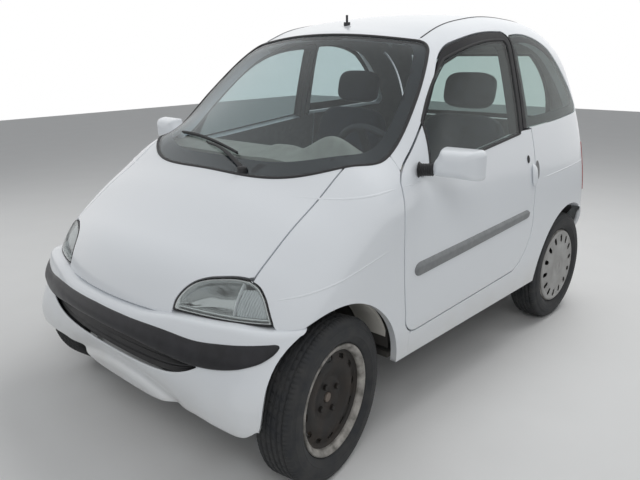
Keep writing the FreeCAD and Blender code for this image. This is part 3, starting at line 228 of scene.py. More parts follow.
def bodyDistance(p):
    # How far a point lies outside the body: the most of its distances past the crown's arc, the flank's
    # curve, the bowed nose and the bowed tail, with soft corners between them
    v = bodyValues
    x, y, z = np.abs(p[:, 0]), p[:, 1], p[:, 2]
    slopeOut = v["flankBulge"]
    crown, edgeX, edgeZ, sideX, sideZ, waistX, waistZ, sillX = smoothBetween(
        bodyStations[:, 0], bodyStations[:, 1:], y).T
    rise = crown - edgeZ
    radius = (edgeX ** 2 + rise ** 2) / (2 * rise)
    top = np.hypot(x, z - crown + radius) - radius
    high, low = sideZ - waistZ, waistZ - v["sill"]
    upper, lower = (sideX - waistX) / high, (waistX - sillX) / low
    middle = (upper + lower) / 2
    upperEnd = upper - slopeOut
    above = hermite(np.clip((z - waistZ) / high, 0, 1), waistX, sideX, middle * high, upperEnd * high)
    below = hermite(np.clip((z - v["sill"]) / low, 0, 1), sillX, waistX, (lower + slopeOut) * low, middle * low)
    flank = np.where(z > waistZ, above, below) + upperEnd * np.maximum(z - sideZ, 0)
    far = softMax(top, x - flank, v["shoulderRound"])
    nose = v["noseMiddle"] + v["noseBow"] * x ** 2 - v["noseLean"] * (v["noseLow"] - z) - y
    tail = y - v["tailMiddle"] + v["tailBow"] * x ** 2 + v["tailLean"] * np.maximum(z - v["tailLow"], 0) ** 2
    return softMax(softMax(far, nose, v["noseRound"]), tail, v["tailRound"])


def cast(start, way, reach=1.7, halvings=24):
    # Where each ray from inside leaves the body, by halving the span that holds the crossing
    low, high = np.zeros(len(start)), np.full(len(start), reach)
    for _ in range(halvings):
        middle = (low + high) / 2
        outside = bodyDistance(start + way * middle[:, None]) > 0
        high = np.where(outside, middle, high)
        low = np.where(outside, low, middle)
    return start + way * high[:, None]


def surfaceNormals(p, step=0.001):
    # The direction in which the distance grows fastest, by central differences
    grow = []
    for i in range(3):
        shift = np.zeros(3)
        shift[i] = step
        grow.append(bodyDistance(p + shift) - bodyDistance(p - shift))
    n = np.stack(grow, axis=1)
    return n / np.linalg.norm(n, axis=1)[:, None]


def rays(start, way):
    # Each of the six coordinates is one value or an array
    n = max(len(np.atleast_1d(a)) for a in (*start, *way))
    columns = [np.broadcast_to(np.asarray(a, float), n) for a in (*start, *way)]
    return cast(np.stack(columns[:3], 1), np.stack(columns[3:], 1))


def onSide(y, z):
    # Points on the left side's skin, from (along, up)
    return rays((0.15, y, z), (1, 0, 0))


def onTop(x, y):
    # Points on the skin seen from above, from (across, along)
    return rays((x, y, 0.45), (0, 0, 1))


def onFront(x, z):
    # Points on the nose's skin, from (across, up)
    return rays((x, -0.75, z), (0, -1, 0))


def onRear(x, z):
    # Points on the tail's skin, from (across, up)
    return rays((x, 0.75, z), (0, 1, 0))


def aroundCorner(z, first, last, end, spacing=0.012):
    # The body's line at one height round its front or rear left corner, between two places in plan
    pivot = np.array((0.25, -0.80 if end == "front" else 0.80))
    a, b = [math.atan2(p[1] - pivot[1], p[0] - pivot[0]) for p in (first, last)]
    t = np.linspace(a, b, max(int(abs(b - a) * 0.45 / spacing), 4))
    return rays((pivot[0], pivot[1], z), (np.cos(t), np.sin(t), 0))


def overEnd(x, lowest, highest, pivot, spacing=0.012):
    # The body's line at one place across, over its tail, between two (along, up) places
    a, b = [math.atan2(p[1] - pivot[1], p[0] - pivot[0]) for p in (lowest, highest)]
    t = np.linspace(a, b, max(int(abs(b - a) * 0.55 / spacing), 4))
    return rays((x, pivot[0], pivot[1]), (0, np.cos(t), np.sin(t)))


def route(steps, spacing=0.012):
    # Points along lines and arcs: ("start", p), ("line", end), ("arc", middle, end)
    here = np.array(steps[0][1], float)
    parts = [here[None]]
    for step in steps[1:]:
        end = np.array(step[-1], float)
        if step[0] == "line":
            n = max(int(np.linalg.norm(end - here) / spacing), 1)
            t = np.linspace(0, 1, n + 1)[1:, None]
            parts.append(here + (end - here) * t)
        else:
            parts.append(arcThrough(here, np.array(step[1], float), end, spacing)[1:])
        here = end
    return np.concatenate(parts)


def arcThrough(a, b, c, spacing=0.012):
    # Circle through three points, drawn from a by b to c
    lhs = 2 * np.array((b - a, c - a))
    rhs = np.array((b @ b - a @ a, c @ c - a @ a))
    centre = np.linalg.solve(lhs, rhs)
    angles = [math.atan2(*(p - centre)[::-1]) for p in (a, b, c)]
    turn = (angles[2] - angles[0]) % (2 * math.pi)
    if (angles[1] - angles[0]) % (2 * math.pi) > turn:
        turn -= 2 * math.pi
    radius = np.linalg.norm(a - centre)
    t = angles[0] + np.linspace(0, turn, max(int(abs(turn) * radius / spacing), 4) + 1)
    return centre + radius * np.stack((np.cos(t), np.sin(t)), 1)


def area(loop):
    # Half the sum of the cross products of neighbouring corners, positive when they run anticlockwise
    x, y = loop.T
    return (x @ np.roll(y, -1) - y @ np.roll(x, -1)) / 2


def grown(loop, margin):
    # A closed outline moved outwards by margin along the mean normal of its two neighbouring edges
    if abs(margin) < 1e-9:
        return loop
    edge = np.roll(loop, -1, 0) - loop
    length = np.linalg.norm(edge, axis=1)
    normal = np.stack((edge[:, 1], -edge[:, 0]), 1) / np.maximum(length, 1e-9)[:, None]
    normal *= np.sign(area(loop))
    both = normal + np.roll(normal, 1, 0)
    size = np.maximum((both ** 2).sum(1) / 2, 0.6)
    return loop + both / size[:, None] * margin


# A chart lays the body's surface flat, so that a panel's outline can be filled with a grid. A side chart has an
# axis along the car with a fan of rays round it, and the fan turns about the axis's ends at the corners. An end
# chart has an axis across the car.
sideChart = {"kind": "side", "across": 0.25, "up": 0.62, "front": -0.75, "rear": 0.80, "radius": 0.45}
noseChart = {"kind": "end", "along": -0.70, "up": 0.40, "radius": 0.50}
screenChart = {"kind": "end", "along": -0.05, "up": 0.55, "radius": 0.70}
roofChart = {"kind": "end", "along": 0.35, "up": 0.45, "radius": 0.95}
tailChart = {"kind": "end", "along": 0.70, "up": 0.90, "radius": 0.50}


def toChart(p, chart):
    # The place along the chart's axis, and the angle round it times the radius
    if chart["kind"] == "end":
        angle = np.arctan2(p[:, 2] - chart["up"], p[:, 1] - chart["along"])
        return np.stack((p[:, 0], angle * chart["radius"]), 1)
    middle = np.clip(p[:, 1], chart["front"], chart["rear"])
    x, y, z = p[:, 0] - chart["across"], p[:, 1] - middle, p[:, 2] - chart["up"]
    tilt = np.arctan2(y, np.hypot(x, z))
    return np.stack((middle + tilt * chart["radius"], np.arctan2(z, x) * chart["radius"]), 1)


def fromChart(q, chart):
    # The other way: the ray at a chart place's angle, followed out to the skin
    turn = q[:, 1] / chart["radius"]
    if chart["kind"] == "end":
        return rays((q[:, 0], chart["along"], chart["up"]), (0, np.cos(turn), np.sin(turn)))
    middle = np.clip(q[:, 0], chart["front"], chart["rear"])
    tilt = (q[:, 0] - middle) / chart["radius"]
    return rays((chart["across"], middle, chart["up"]),
                (np.cos(turn) * np.cos(tilt), np.sin(tilt), np.sin(turn) * np.cos(tilt)))


def insideOf(points, loops):
    # Even-odd test of points against closed outlines
    inside = np.zeros(len(points), bool)
    for loop in loops:
        x1, y1 = loop.T
        x2, y2 = np.roll(loop, -1, 0).T
        x, y = points[:, 0, None], points[:, 1, None]
        crosses = (y1 > y) != (y2 > y)
        rise = np.where(y2 == y1, 1, y2 - y1)
        inside ^= (crosses & (x < (x2 - x1) * (y - y1) / rise + x1)).sum(1) % 2 == 1
    return inside


def fillOutline(loops, spacing):
    # Triangles that fill the outlines: the outlines' points first, then a grid of points between them
    border = np.concatenate(loops)
    low, high = border.min(0), border.max(0)
    gx, gy = np.meshgrid(np.arange(low[0], high[0], spacing), np.arange(low[1], high[1], spacing))
    grid = np.stack((gx.ravel(), gy.ravel()), 1)
    grid = grid[insideOf(grid, loops)]
    far = np.ones(len(grid), bool)
    for part in np.array_split(np.arange(len(border)), max(len(border) // 200, 1)):
        gaps = np.linalg.norm(grid[:, None] - border[part][None], axis=2).min(1)
        far &= gaps > spacing * 0.55
    points = np.concatenate((border, grid[far]))
    edges, start = [], 0
    for loop in loops:
        ring = np.arange(start, start + len(loop))
        edges += list(zip(ring.tolist(), np.roll(ring, -1).tolist()))
        start += len(loop)
    found = geometry.delaunay_2d_cdt([Vector(p) for p in points.tolist()], edges, [], 0, 1e-7, False)
    points = np.array([tuple(p) for p in found[0]])
    faces = np.array([f for f in found[2] if len(f) == 3])
    faces = faces[insideOf(points[faces].mean(1), loops)]
    return points, faces, len(border)


def linked(name, data):
    obj = bpy.data.objects.new(name, data)
    bpy.context.scene.collection.objects.link(obj)
    return obj


def makeMesh(name, points, faces, materials, faceMaterial=None, smooth=True):
    mesh = bpy.data.meshes.new(name)
    mesh.from_pydata(points.tolist(), [], [list(f) for f in faces])
    for material in materials:
        mesh.materials.append(material)
    if faceMaterial is not None:
        mesh.polygons.foreach_set("material_index", np.asarray(faceMaterial, np.int32))
    mesh.polygons.foreach_set("use_smooth", np.full(len(mesh.polygons), smooth))
    mesh.update()
    return linked(name, mesh)


def setNormals(obj, normals):
    obj.data.normals_split_custom_set(normals.tolist())
    return obj


def buildPanel(name, loops, chart, depth, materials, spacing=0.018, lift=0.0, hem=0.0015, side=1,
               zone=None):
    # A closed panel on the body's surface: its skin, a small round hem, the shut faces and an inner skin.
    # loops are closed lines on the surface, the outer one first. zone says which places on it take material 2.
    flat = [toChart(loop, chart) for loop in loops]
    flat = [f if (area(f) > 0) == (i == 0) else f[::-1] for i, f in enumerate(flat)]
    shrunk = [grown(f, -hem if i == 0 else hem) for i, f in enumerate(flat)]
    points, faces, border = fillOutline(shrunk, spacing)
    skin = fromChart(points, chart)
    rim = fromChart(np.concatenate(flat), chart)
    normal, rimNormal = surfaceNormals(skin), surfaceNormals(rim)
    inner = skin - normal * depth
    inner[:border] = rim - rimNormal * depth
    outward = skin[:border] - rim
    outward -= rimNormal * (outward * rimNormal).sum(1)[:, None]
    outward /= -np.maximum(np.linalg.norm(outward, axis=1), 1e-9)[:, None]
    n = len(skin)
    vertices = np.concatenate((skin + normal * lift, rim + rimNormal * (lift - hem), inner + (
        np.concatenate((rimNormal, normal[border:])) * lift)))
    loopNext = []
    start = 0
    for f in flat:
        ring = np.arange(start, start + len(f))
        loopNext.append(np.roll(ring, -1))
        start += len(f)
    a, b = np.arange(border), np.concatenate(loopNext)
    chamfer = np.stack((b, a, a + n, b + n), 1)
    shut = np.stack((b + n, a + n, a + n + border, b + n + border), 1)
    back = faces[:, ::-1] + n + border
    corner = vertices[faces[0]]
    facing = np.cross(corner[1] - corner[0], corner[2] - corner[0]) @ normal[faces[0, 0]]
    groups = [faces, chamfer, shut, back]
    loopNormals = [normal[faces.ravel()],
                   np.stack((normal[b], normal[a], outward[a], outward[b]), 1).reshape(-1, 3),
                   outward[np.stack((b, a, a, b), 1).ravel()], -normal[back.ravel() - n - border]]
    if facing < 0:
        groups = [g[:, ::-1] for g in groups]
        loopNormals = [np.reshape(m, (len(g), -1, 3))[:, ::-1].reshape(-1, 3)
                       for g, m in zip(groups, loopNormals)]
    if side < 0:
        vertices = vertices * (-1, 1, 1)
        groups = [g[:, ::-1] for g in groups]
        loopNormals = [np.reshape(m, (len(g), -1, 3))[:, ::-1].reshape(-1, 3) * (-1, 1, 1)
                       for g, m in zip(groups, loopNormals)]
    allFaces = [f for g in groups for f in g.tolist()]
    slots = np.repeat((0, 0, 0, 1), [len(g) for g in groups])
    if zone:
        front = np.concatenate([vertices[g].mean(1) for g in groups[:3]]) * (side, 1, 1)
        slots[:len(front)][zone(front)] = 2
    obj = makeMesh(name, vertices, allFaces, materials, slots)
    return setNormals(obj, np.concatenate(loopNormals))


# Outlines. Side ones are (along, up), rear ones (across, up), plan ones (across, along).
doorOutline = route([
    ("start", (-0.440, 0.374)), ("arc", (-0.490, 0.393), (-0.509, 0.450)),
    ("arc", (-0.522, 0.690), (-0.497, 0.900)),
    ("arc", (-0.330, 1.118), (-0.110, 1.302)), ("arc", (0.070, 1.354), (0.320, 1.374)),
    ("arc", (0.358, 1.364), (0.370, 1.325)), ("line", (0.362, 0.985)), ("line", (0.436, 0.985)),
    ("arc", (0.448, 0.860), (0.424, 0.640)), ("arc", (0.380, 0.480), (0.270, 0.398)), ("line", (-0.440, 0.374)),
])[:-1]
windowOutline = route([
    ("start", (-0.352, 0.912)), ("line", (-0.318, 1.078)), ("arc", (-0.230, 1.170), (-0.092, 1.278)),
    ("arc", (0.080, 1.326), (0.306, 1.344)), ("arc", (0.332, 1.336), (0.338, 1.310)), ("line", (0.332, 0.976)),
    ("line", (-0.352, 0.912)),
])[:-1]
quarterOutline = route([
    ("start", (0.399, 0.990)), ("line", (0.388, 1.364)), ("arc", (0.620, 1.353), (0.760, 1.303)),
    ("arc", (0.900, 1.184), (1.000, 1.062)), ("arc", (1.012, 1.036), (0.992, 1.012)),
    ("arc", (0.700, 0.997), (0.399, 0.990)),
])[:-1]
screenSide = arcThrough(*np.array(((0.600, -0.556), (0.572, -0.300), (0.470, -0.072))))
across = np.linspace(-0.600, 0.600, 101)
screenBase = np.stack((across, -0.768 + 0.212 * (np.abs(across) / 0.600) ** 3.3), 1)
screenTop = arcThrough(*np.array(((0.470, -0.072), (0, -0.141), (-0.470, -0.072))))


def walkAlong(points):
    # The distance walked from the first point to each
    return np.concatenate(((0,), np.cumsum(np.linalg.norm(np.diff(points, axis=0), axis=1))))


def roundedCorners(outline, reach, step=0.006):
    # A closed outline walked in even steps, each point then the mean of those within reach of it
    outline = np.concatenate((outline, outline[:1]))
    walked = walkAlong(outline)
    even = np.linspace(0, walked[-1], int(walked[-1] / step), endpoint=False)
    p = np.stack([np.interp(even, walked, outline[:, k]) for k in (0, 1)], 1)
    half = int(reach / step)
    return np.mean([np.roll(p, k, 0) for k in range(-half, half + 1)], 0)


def curveThrough(points, spacing=0.010):
    # A smooth line through points, walked by the distance between them
    points = np.array(points)
    walked = walkAlong(points)
    return smoothBetween(walked, points, np.linspace(0, walked[-1], int(walked[-1] / spacing) + 2))


screenOutline = np.concatenate((screenBase, screenSide[1:], screenTop[1:], (screenSide[::-1] * (-1, 1))[1:-1]))
screenOutline = roundedCorners(screenOutline, 0.055)
screenEdge = grown(screenOutline, 0.003)
# The lamp's edges in (across, up), the inner one up from its foot and the outer one down from its head
lampOutline = {
    "inner": curveThrough([(0.328, 0.580), (0.330, 0.605), (0.341, 0.630), (0.3635, 0.655), (0.397, 0.6695),
                           (0.441, 0.677), (0.490, 0.681), (0.527, 0.679)]),
    "outer": curveThrough([(0.527, 0.679), (0.560, 0.665), (0.587, 0.640), (0.612, 0.602), (0.629, 0.572)]),
}
panelValues = {
    "gap": 0.005, "glassGap": 0.003, "shutClear": 0.004, "thin": 0.025, "thick": 0.050,
    "bonnetHalf": 0.530, "roofHalf": 0.425, "tailgateHalf": 0.500, "tailgateLow": 0.600, "tailgateFront": 0.905,
    "tailPivot": (0.60, 0.90), "wingEnd": -0.480, "wingFoot": (0.640, -1.045), "bumperTop": 0.556,
    "pillar": 0.044, "pillarRound": 0.035, "sill": 0.280,
    "frontArch": (-0.853, 0.2765, 0.308), "rearArch": (0.836, 0.2665, 0.322),
}


def besidePillar(outline, margin):
    # A side outline whose upper front edge is kept below the pillar beside the screen, at a margin from the screen's
    # edge, with a rounded corner at the pillar's head
    line = onTop(screenSide[:, 0] + margin, screenSide[:, 1])[:, 1:]
    line = line[np.argsort(line[:, 0])]
    head = line[-1] + (line[-1] - line[-4]) * np.array((1, 6))[:, None]
    line = np.concatenate((line, head))
    limit = np.interp(outline[:, 0], line[:, 0], line[:, 1])
    front = (outline[:, 0] < line[-1, 0]) & (outline[:, 1] > 0.9)
    z = np.where(front, -softMax(-outline[:, 1], -limit, panelValues["pillarRound"]), outline[:, 1])
    return np.stack((outline[:, 0], z), 1)


def archLine(arch, first, last, spacing=0.012):
    # The edge of a wheel arch as (along, up), between two heights, front side first
    y, z, r = arch
    a = math.pi - math.asin((first - z) / r)
    b = math.asin((last - z) / r)
    t = np.linspace(a, b, int(r * (a - b) / spacing))
    return np.stack((y + r * np.cos(t), z + r * np.sin(t)), 1)


def straight(a, b, spacing=0.012):
    # Evenly spaced points from a to b
    return route([("start", a), ("line", b)], spacing)


def joinRoutes(*parts):
    # One closed line from parts that follow each other, without doubled points
    line = np.concatenate(parts)
    keep = np.linalg.norm(line - np.roll(line, 1, 0), axis=1) > 0.0015
    return line[keep]


def doorOpening():
    # The door's outline grown by the gap, for the panels round it
    return besidePillar(grown(doorOutline, panelValues["gap"]), panelValues["pillar"] - panelValues["gap"])


def screenBaseLine(across, ahead=0.0):
    # The place along of the screen's lower edge at each place across
    order = np.argsort(screenBase[:, 0])
    return np.interp(across, screenBase[order, 0], screenBase[order, 1]) - ahead


def wingLoop():
    # Round a front wing: the bonnet's shut line, screen, door, sill, wheel arch, bumper and lamp
    v = panelValues
    x = v["bonnetHalf"] + v["gap"]
    lamp = lampOutline["outer"]
    lampTop = onFront(*lamp[0])[0]
    shutLine = onTop(x, np.linspace(lampTop[1], float(screenBaseLine(x, v["glassGap"])), 36))
    edge = screenEdge[(screenEdge[:, 0] > x) & (screenEdge[:, 1] < v["wingEnd"])]
    pillarEdge = onTop(*edge.T)
    front = doorOpening()
    front = front[front[:, 0] < v["wingEnd"]]
    front = front[np.argsort(-front[:, 1])]
    down, foot = shutLines(pillarEdge[-1, 2], front[0, 1], front[-1, 1])
    arch = archLine(v["frontArch"], v["bumperTop"], v["sill"])[::-1]
    sill = straight((v["wingEnd"], v["sill"]), arch[0])
    corner = onSide(*arch[-1])[0]
    under = aroundCorner(v["bumperTop"], corner[:2], v["wingFoot"], "front")
    side = np.concatenate((down, front, foot, sill, arch))
    return joinRoutes(shutLine, pillarEdge, onSide(*side.T), under, onFront(*lamp[::-1].T))


def shutLines(pillarFoot, doorHead, doorFoot):
    # The upright shut line between wing and body side, above the door's opening and below it
    v = panelValues
    x, clear = v["wingEnd"], v["shutClear"]
    down = straight((x, pillarFoot - clear * 1.5), (x, doorHead + clear))
    return down, straight((x, doorFoot - clear), (x, v["sill"]))


def sideLoop():
    # Round a body side: sill, wheel arch, bumper, valance, tailgate, roof, screen and door
    v = panelValues
    edge = v["tailgateHalf"] + v["gap"]
    arch = archLine(v["rearArch"], v["sill"], v["bumperTop"])
    lower = onSide(*np.concatenate((straight((v["wingEnd"], v["sill"]), arch[0]), arch)).T)
    across = np.linspace(edge, 0.0005, 30)
    valanceLow = onRear(across, v["bumperTop"])
    valanceHigh = onRear(across[::-1], v["tailgateLow"] - v["gap"])
    under = aroundCorner(v["bumperTop"], lower[-1, :2], valanceLow[0, :2], "rear")
    frontEdge = v["tailgateFront"] - v["gap"] / 2
    rearTop = onTop(edge, frontEdge)[0]
    behind = overEnd(edge, valanceHigh[-1, 1:], rearTop[1:], v["tailPivot"])
    ledge = onTop(np.linspace(edge, v["roofHalf"], 7), frontEdge)
    rail = onTop(v["roofHalf"], np.linspace(frontEdge, -0.075, 80))
    pillar = screenEdge[(screenEdge[:, 0] > v["roofHalf"]) & (screenEdge[:, 1] > v["wingEnd"])][::-1]
    pillar = onTop(*pillar.T)
    opening = doorOpening()
    kept = opening[:, 0] > v["wingEnd"]
    first = int(np.argmax(kept & ~np.roll(kept, 1)))
    opening = np.roll(opening, -first, 0)[:kept.sum()]
    down, foot = shutLines(pillar[-1, 2], opening[0, 1], opening[-1, 1])
    side = onSide(*np.concatenate((down, opening, foot)).T)
    return joinRoutes(lower, under, valanceLow, valanceHigh, behind, ledge, rail, pillar, side)


def bothHalves(*parts):
    # A closed line from the left half's parts and their mirror image
    left = np.concatenate(parts)
    return joinRoutes(left, left[::-1] * (-1, 1, 1))


def bonnetLoop():
    # The screen's edge, the shut line beside the wing, the lamp's inner edge and the bumper's top
    v = panelValues
    half = v["bonnetHalf"]
    x = np.linspace(half, 0, 45)
    rear = onTop(x, screenBaseLine(x, v["gap"]))[::-1]
    inner = lampOutline["inner"]
    lamp = grown(np.concatenate((inner, lampOutline["outer"])), v["gap"])[:len(inner)]
    lamp = lamp[lamp[:, 0] < half - 0.002]
    lampEdge = onFront(*lamp[::-1].T)
    side = onTop(half, np.linspace(rear[-1, 1], lampEdge[0, 1], 36))
    low = v["bumperTop"] + v["gap"]
    foot = onFront(lamp[0, 0], np.linspace(lamp[0, 1], low, 3))
    return bothHalves(rear, side, lampEdge, foot, onFront(np.linspace(lamp[0, 0], 0, 28), low))


def roofLoop():
    # The screen's head, the line of the gutter and the tailgate's edge
    v = panelValues
    half = v["roofHalf"] - 0.0005
    x = np.linspace(0, half, 36)
    order = np.argsort(screenTop[:, 0])
    front = onTop(x, np.interp(x, *screenTop[order].T) + v["glassGap"])
    end = v["tailgateFront"] - v["gap"] / 2
    return bothHalves(front, onTop(half, np.linspace(front[-1, 1], end, 80)), onTop(x[::-1], end))


def tailgateLoop():
    # The roof's edge, the side over the tail and the lower edge
    v = panelValues
    half = v["tailgateHalf"]
    x = np.linspace(0, half, 40)
    top = onTop(x, v["tailgateFront"] + v["gap"] / 2)
    low = onRear(x[::-1], v["tailgateLow"])
    return bothHalves(top, overEnd(half, low[0, 1:], top[-1, 1:], v["tailPivot"])[::-1], low)


bodyOfNode = {n: b for b, members in frame["record"]["behaviour"]["bodies"].items() for n in members}
sides = (("left", 1), ("right", -1))


def fit(piece, slot, *nodes, hide=True):
    # The piece rides with the first node's body and stands for the nodes
    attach(piece, bodyOfNode[nodes[0]])
    if hide:
        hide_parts(*nodes)
    return piece


def panelPair(name, node, loops, depth, materials, spacing=0.018, zone=None):
    for word, side in sides:
        panel = buildPanel(f"{name}_{word}_skin", loops, sideChart, depth, materials, spacing, side=side, zone=zone)
        fit(panel, "white_paint", f"{node}_{word}")


def doorFrameZone(p):
    # The window frame, but for the corner piece before the window
    belt = np.interp(p[:, 1], (-0.352, 0.332, 0.450), (0.912, 0.976, 0.985)) - 0.001
    ahead = np.interp(p[:, 2], (0.912, 1.078), (-0.352, -0.318)) + 0.001
    return (p[:, 2] > belt) & ((p[:, 1] > ahead) | (p[:, 2] > 1.079))


def pillarZone(p):
    # The post between the door's window and the quarter glass
    return (p[:, 1] > 0.355) & (p[:, 1] < 0.42) & (p[:, 2] > 0.986) & (p[:, 2] < 1.364)


v = panelValues
doorEdge = onSide(*besidePillar(doorOutline, v["pillar"]).T)
windowEdge = onSide(*windowOutline.T)
quarterEdge = onSide(*quarterOutline.T)
threeFaced = (paint, innerTrim, blackTrim)
panelPair("wing", "wing", [wingLoop()], v["thin"], (paint, blackTrim))
panelPair("bodySide", "body_side", [sideLoop(), quarterEdge], v["thick"], threeFaced, zone=pillarZone)
panelPair("door", "door", [doorEdge, windowEdge], v["thick"], threeFaced, 0.014, zone=doorFrameZone)
bonnet = buildPanel("bonnet_skin", [bonnetLoop()], noseChart, v["thin"], (paint, blackTrim))
fit(bonnet, "white_paint", "bonnet")
roof = buildPanel("roof_skin", [roofLoop()], roofChart, v["thin"], (paint, innerTrim))
fit(roof, "white_paint", "roof_panel")
print("stage: panels")


# Tailgate and glass


glossValues = {"base": 0.035, "rest": 0.5, "power": 4}


def clearGlass(name, tint, rough=0.02):
    # Thin glass: mostly clear with a tint. Its gloss is base + rest * facing ^ power, facing being 0 seen square on.
    g = glossValues
    material = bpy.data.materials.new(name)
    material.use_nodes = True
    nodes = material.node_tree.nodes
    nodes.remove(nodes["Principled BSDF"])
    clear = addNode(material, "ShaderNodeBsdfTransparent", Color=(*tint, 1))
    gloss = addNode(material, "ShaderNodeBsdfGlossy", Roughness=rough)
    slant = addNode(material, "ShaderNodeLayerWeight", Blend=0.5)
    steep = addNode(material, "ShaderNodeMath", operation="POWER")
    scaled = addNode(material, "ShaderNodeMath", operation="MULTIPLY_ADD")
    steep.inputs[1].default_value = g["power"]
    scaled.inputs[1].default_value = g["rest"]
    scaled.inputs[2].default_value = g["base"]
    mix = addNode(material, "ShaderNodeMixShader")
    joinNodes(material, (slant.outputs["Facing"], steep.inputs[0]), (steep.outputs[0], scaled.inputs[0]),
              (scaled.outputs[0], mix.inputs["Fac"]), (clear.outputs[0], mix.inputs[1]),
              (gloss.outputs[0], mix.inputs[2]), (mix.outputs[0], nodes["Material Output"].inputs["Surface"]))
    return material


screenGlass = clearGlass("screenGlass", (0.82, 0.87, 0.89))
sideGlass = clearGlass("sideGlass", (0.76, 0.82, 0.81))
blackBorder = mottled("blackBorder", (0.008, 0.008, 0.010), (0.012, 0.012, 0.015), 0.7, 30)
rubber = mottled("rubber", (0.014, 0.014, 0.015), (0.028, 0.028, 0.030), 0.6, 60, bump=0.2)

rearWindowOutline = route([
    ("start", (-0.400, 0.930)), ("line", (0.400, 0.930)), ("arc", (0.432, 0.944), (0.440, 0.980)),
    ("arc", (0.425, 1.150), (0.372, 1.300)), ("line", (-0.372, 1.300)), ("arc", (-0.425, 1.150), (-0.440, 0.980)),
    ("arc", (-0.432, 0.944), (-0.400, 0.930)),
])[:-1]
glassValues = {"fit": 0.002, "recess": 0.0015, "wall": 0.005}


def shrunk(outline, centre, across, up):
    # The outline drawn in towards a centre by two factors
    return np.array(centre) + (outline - centre) * (across, up)


def buildGlass(name, outline, place, chart, material, border, side=1):
    # A pane with a black band inside its edge. place puts a flat outline on the body.
    g = glassValues
    pane = buildPanel(name, [place(*grown(outline, -g["fit"]).T)], chart, g["wall"], (material, material),
                      0.03, -g["recess"], 0.0008, side)
    loops = [place(*grown(outline, -g["fit"] - 0.001).T), place(*border.T)]
    band = buildPanel(name.replace("glass", "border"), loops, chart, 0.001, (blackBorder, blackBorder),
                      0.03, -g["recess"] - g["wall"] - 0.0003, 0, side)
    return pane, band


sharpAngle = math.radians(40)


def sweep(name, path, normal, profile, material, closed=False, scale=None):
    # A moulding: a closed profile of (across, out) carried along a path, out being the path's given normal
    ahead, back = np.roll(path, -1, 0), np.roll(path, 1, 0)
    if not closed:
        ahead[-1], back[0] = path[-1], path[0]
    tangent = ahead - back
    tangent /= np.linalg.norm(tangent, axis=1)[:, None]
    across = np.cross(tangent, normal)
    across /= np.linalg.norm(across, axis=1)[:, None]
    out = np.cross(across, tangent)
    scale = np.ones((len(path), 2)) if scale is None else np.asarray(scale)
    a = profile[None, :, 0, None] * scale[:, None, :1]
    b = profile[None, :, 1, None] * scale[:, None, 1:]
    rings = path[:, None] + across[:, None] * a + out[:, None] * b
    return ringMesh(name, rings, material, closed)


def ringFaces(n, m, closed=False):
    # Quads between n rings of m points each; closed joins the last ring to the first
    i, j = np.meshgrid(np.arange(n if closed else n - 1), np.arange(m), indexing="ij")
    i, j = i.ravel(), j.ravel()
    k, l = (i + 1) % n, (j + 1) % m
    return np.stack((i * m + j, i * m + l, k * m + l, k * m + j), 1)


def fanFaces(first, m, centre):
    # Triangles from a ring of m points to a centre
    ring = np.arange(m)
    return np.stack((first + ring, first + np.roll(ring, -1), np.full(m, centre)), 1)


def ringMesh(name, rings, material, closed=False, smooth=True):
    # A skin over rings of points, each ring closed; the ends are closed by fans unless the rings go round
    n, m = rings.shape[:2]
    points = rings.reshape(-1, 3)
    groups = [ringFaces(n, m, closed)]
    if not closed:
        points = np.concatenate((points, rings[:1].mean(1), rings[-1:].mean(1)))
        groups += [fanFaces(0, m, n * m)[:, ::-1], fanFaces((n - 1) * m, m, n * m + 1)]
    return closedMesh(name, points, groups, material, smooth)


def closedMesh(name, points, groups, material, smooth=True):
    # Turns the faces outwards, by the sign of the volume that they hold
    volume = 0
    for g in groups:
        p = points[g]
        for k in range(1, g.shape[1] - 1):
            volume += np.einsum("ij,ij->i", p[:, 0], np.cross(p[:, k], p[:, k + 1])).sum()
    if volume < 0:
        groups = [g[:, ::-1] for g in groups]
    obj = makeMesh(name, points, [f for g in groups for f in g.tolist()], [material], smooth=smooth)
    if smooth:
        obj.data.set_sharp_from_angle(angle=sharpAngle)
    return obj


def twin(piece, name):
    # The mirror image of a finished piece
    mesh = piece.data.copy()
    mesh.name = name
    co = np.zeros(len(mesh.vertices) * 3, np.float32)
    mesh.vertices.foreach_get("co", co)
    co[0::3] *= -1
    mesh.vertices.foreach_set("co", co)
    mesh.flip_normals()
    return linked(name, mesh)


def halfRound(width, height, base=0.0, n=10):
    # A closed profile: a half ellipse standing on a flat foot
    t = np.linspace(0, math.pi, n)
    return np.stack((np.cos(t) * width, base + np.sin(t) * (height - base)), 1)


def ellipse(centre, halfAcross, halfUp, count):
    # Even angles round: centre + cos * halfAcross, centre + sin * halfUp
    t = np.linspace(0, 2 * math.pi, count, endpoint=False)
    return centre[0] + np.cos(t) * halfAcross, centre[1] + np.sin(t) * halfUp


def joined(name, *pieces):
    # Several meshes made one
    bpy.ops.object.select_all(action="DESELECT")
    for piece in pieces:
        piece.select_set(True)
    bpy.context.view_layer.objects.active = pieces[0]
    bpy.ops.object.join()
    pieces[0].name = name
    pieces[0].data.name = name
    return pieces[0]


rearWindowLoop = onRear(*rearWindowOutline.T)
fit(buildPanel("tailgate_skin", [tailgateLoop(), rearWindowLoop], tailChart, v["thin"], (paint, innerTrim)),
    "white_paint", "tailgate")
pane, band = buildGlass("tailgate_glass_pane", rearWindowOutline, onRear, tailChart, sideGlass,
                        shrunk(rearWindowOutline, (0, 1.13), 0.90, 0.86))
fit(pane, "glass", "tailgate_glass")
fit(band, "glass", "tailgate_glass", hide=False)

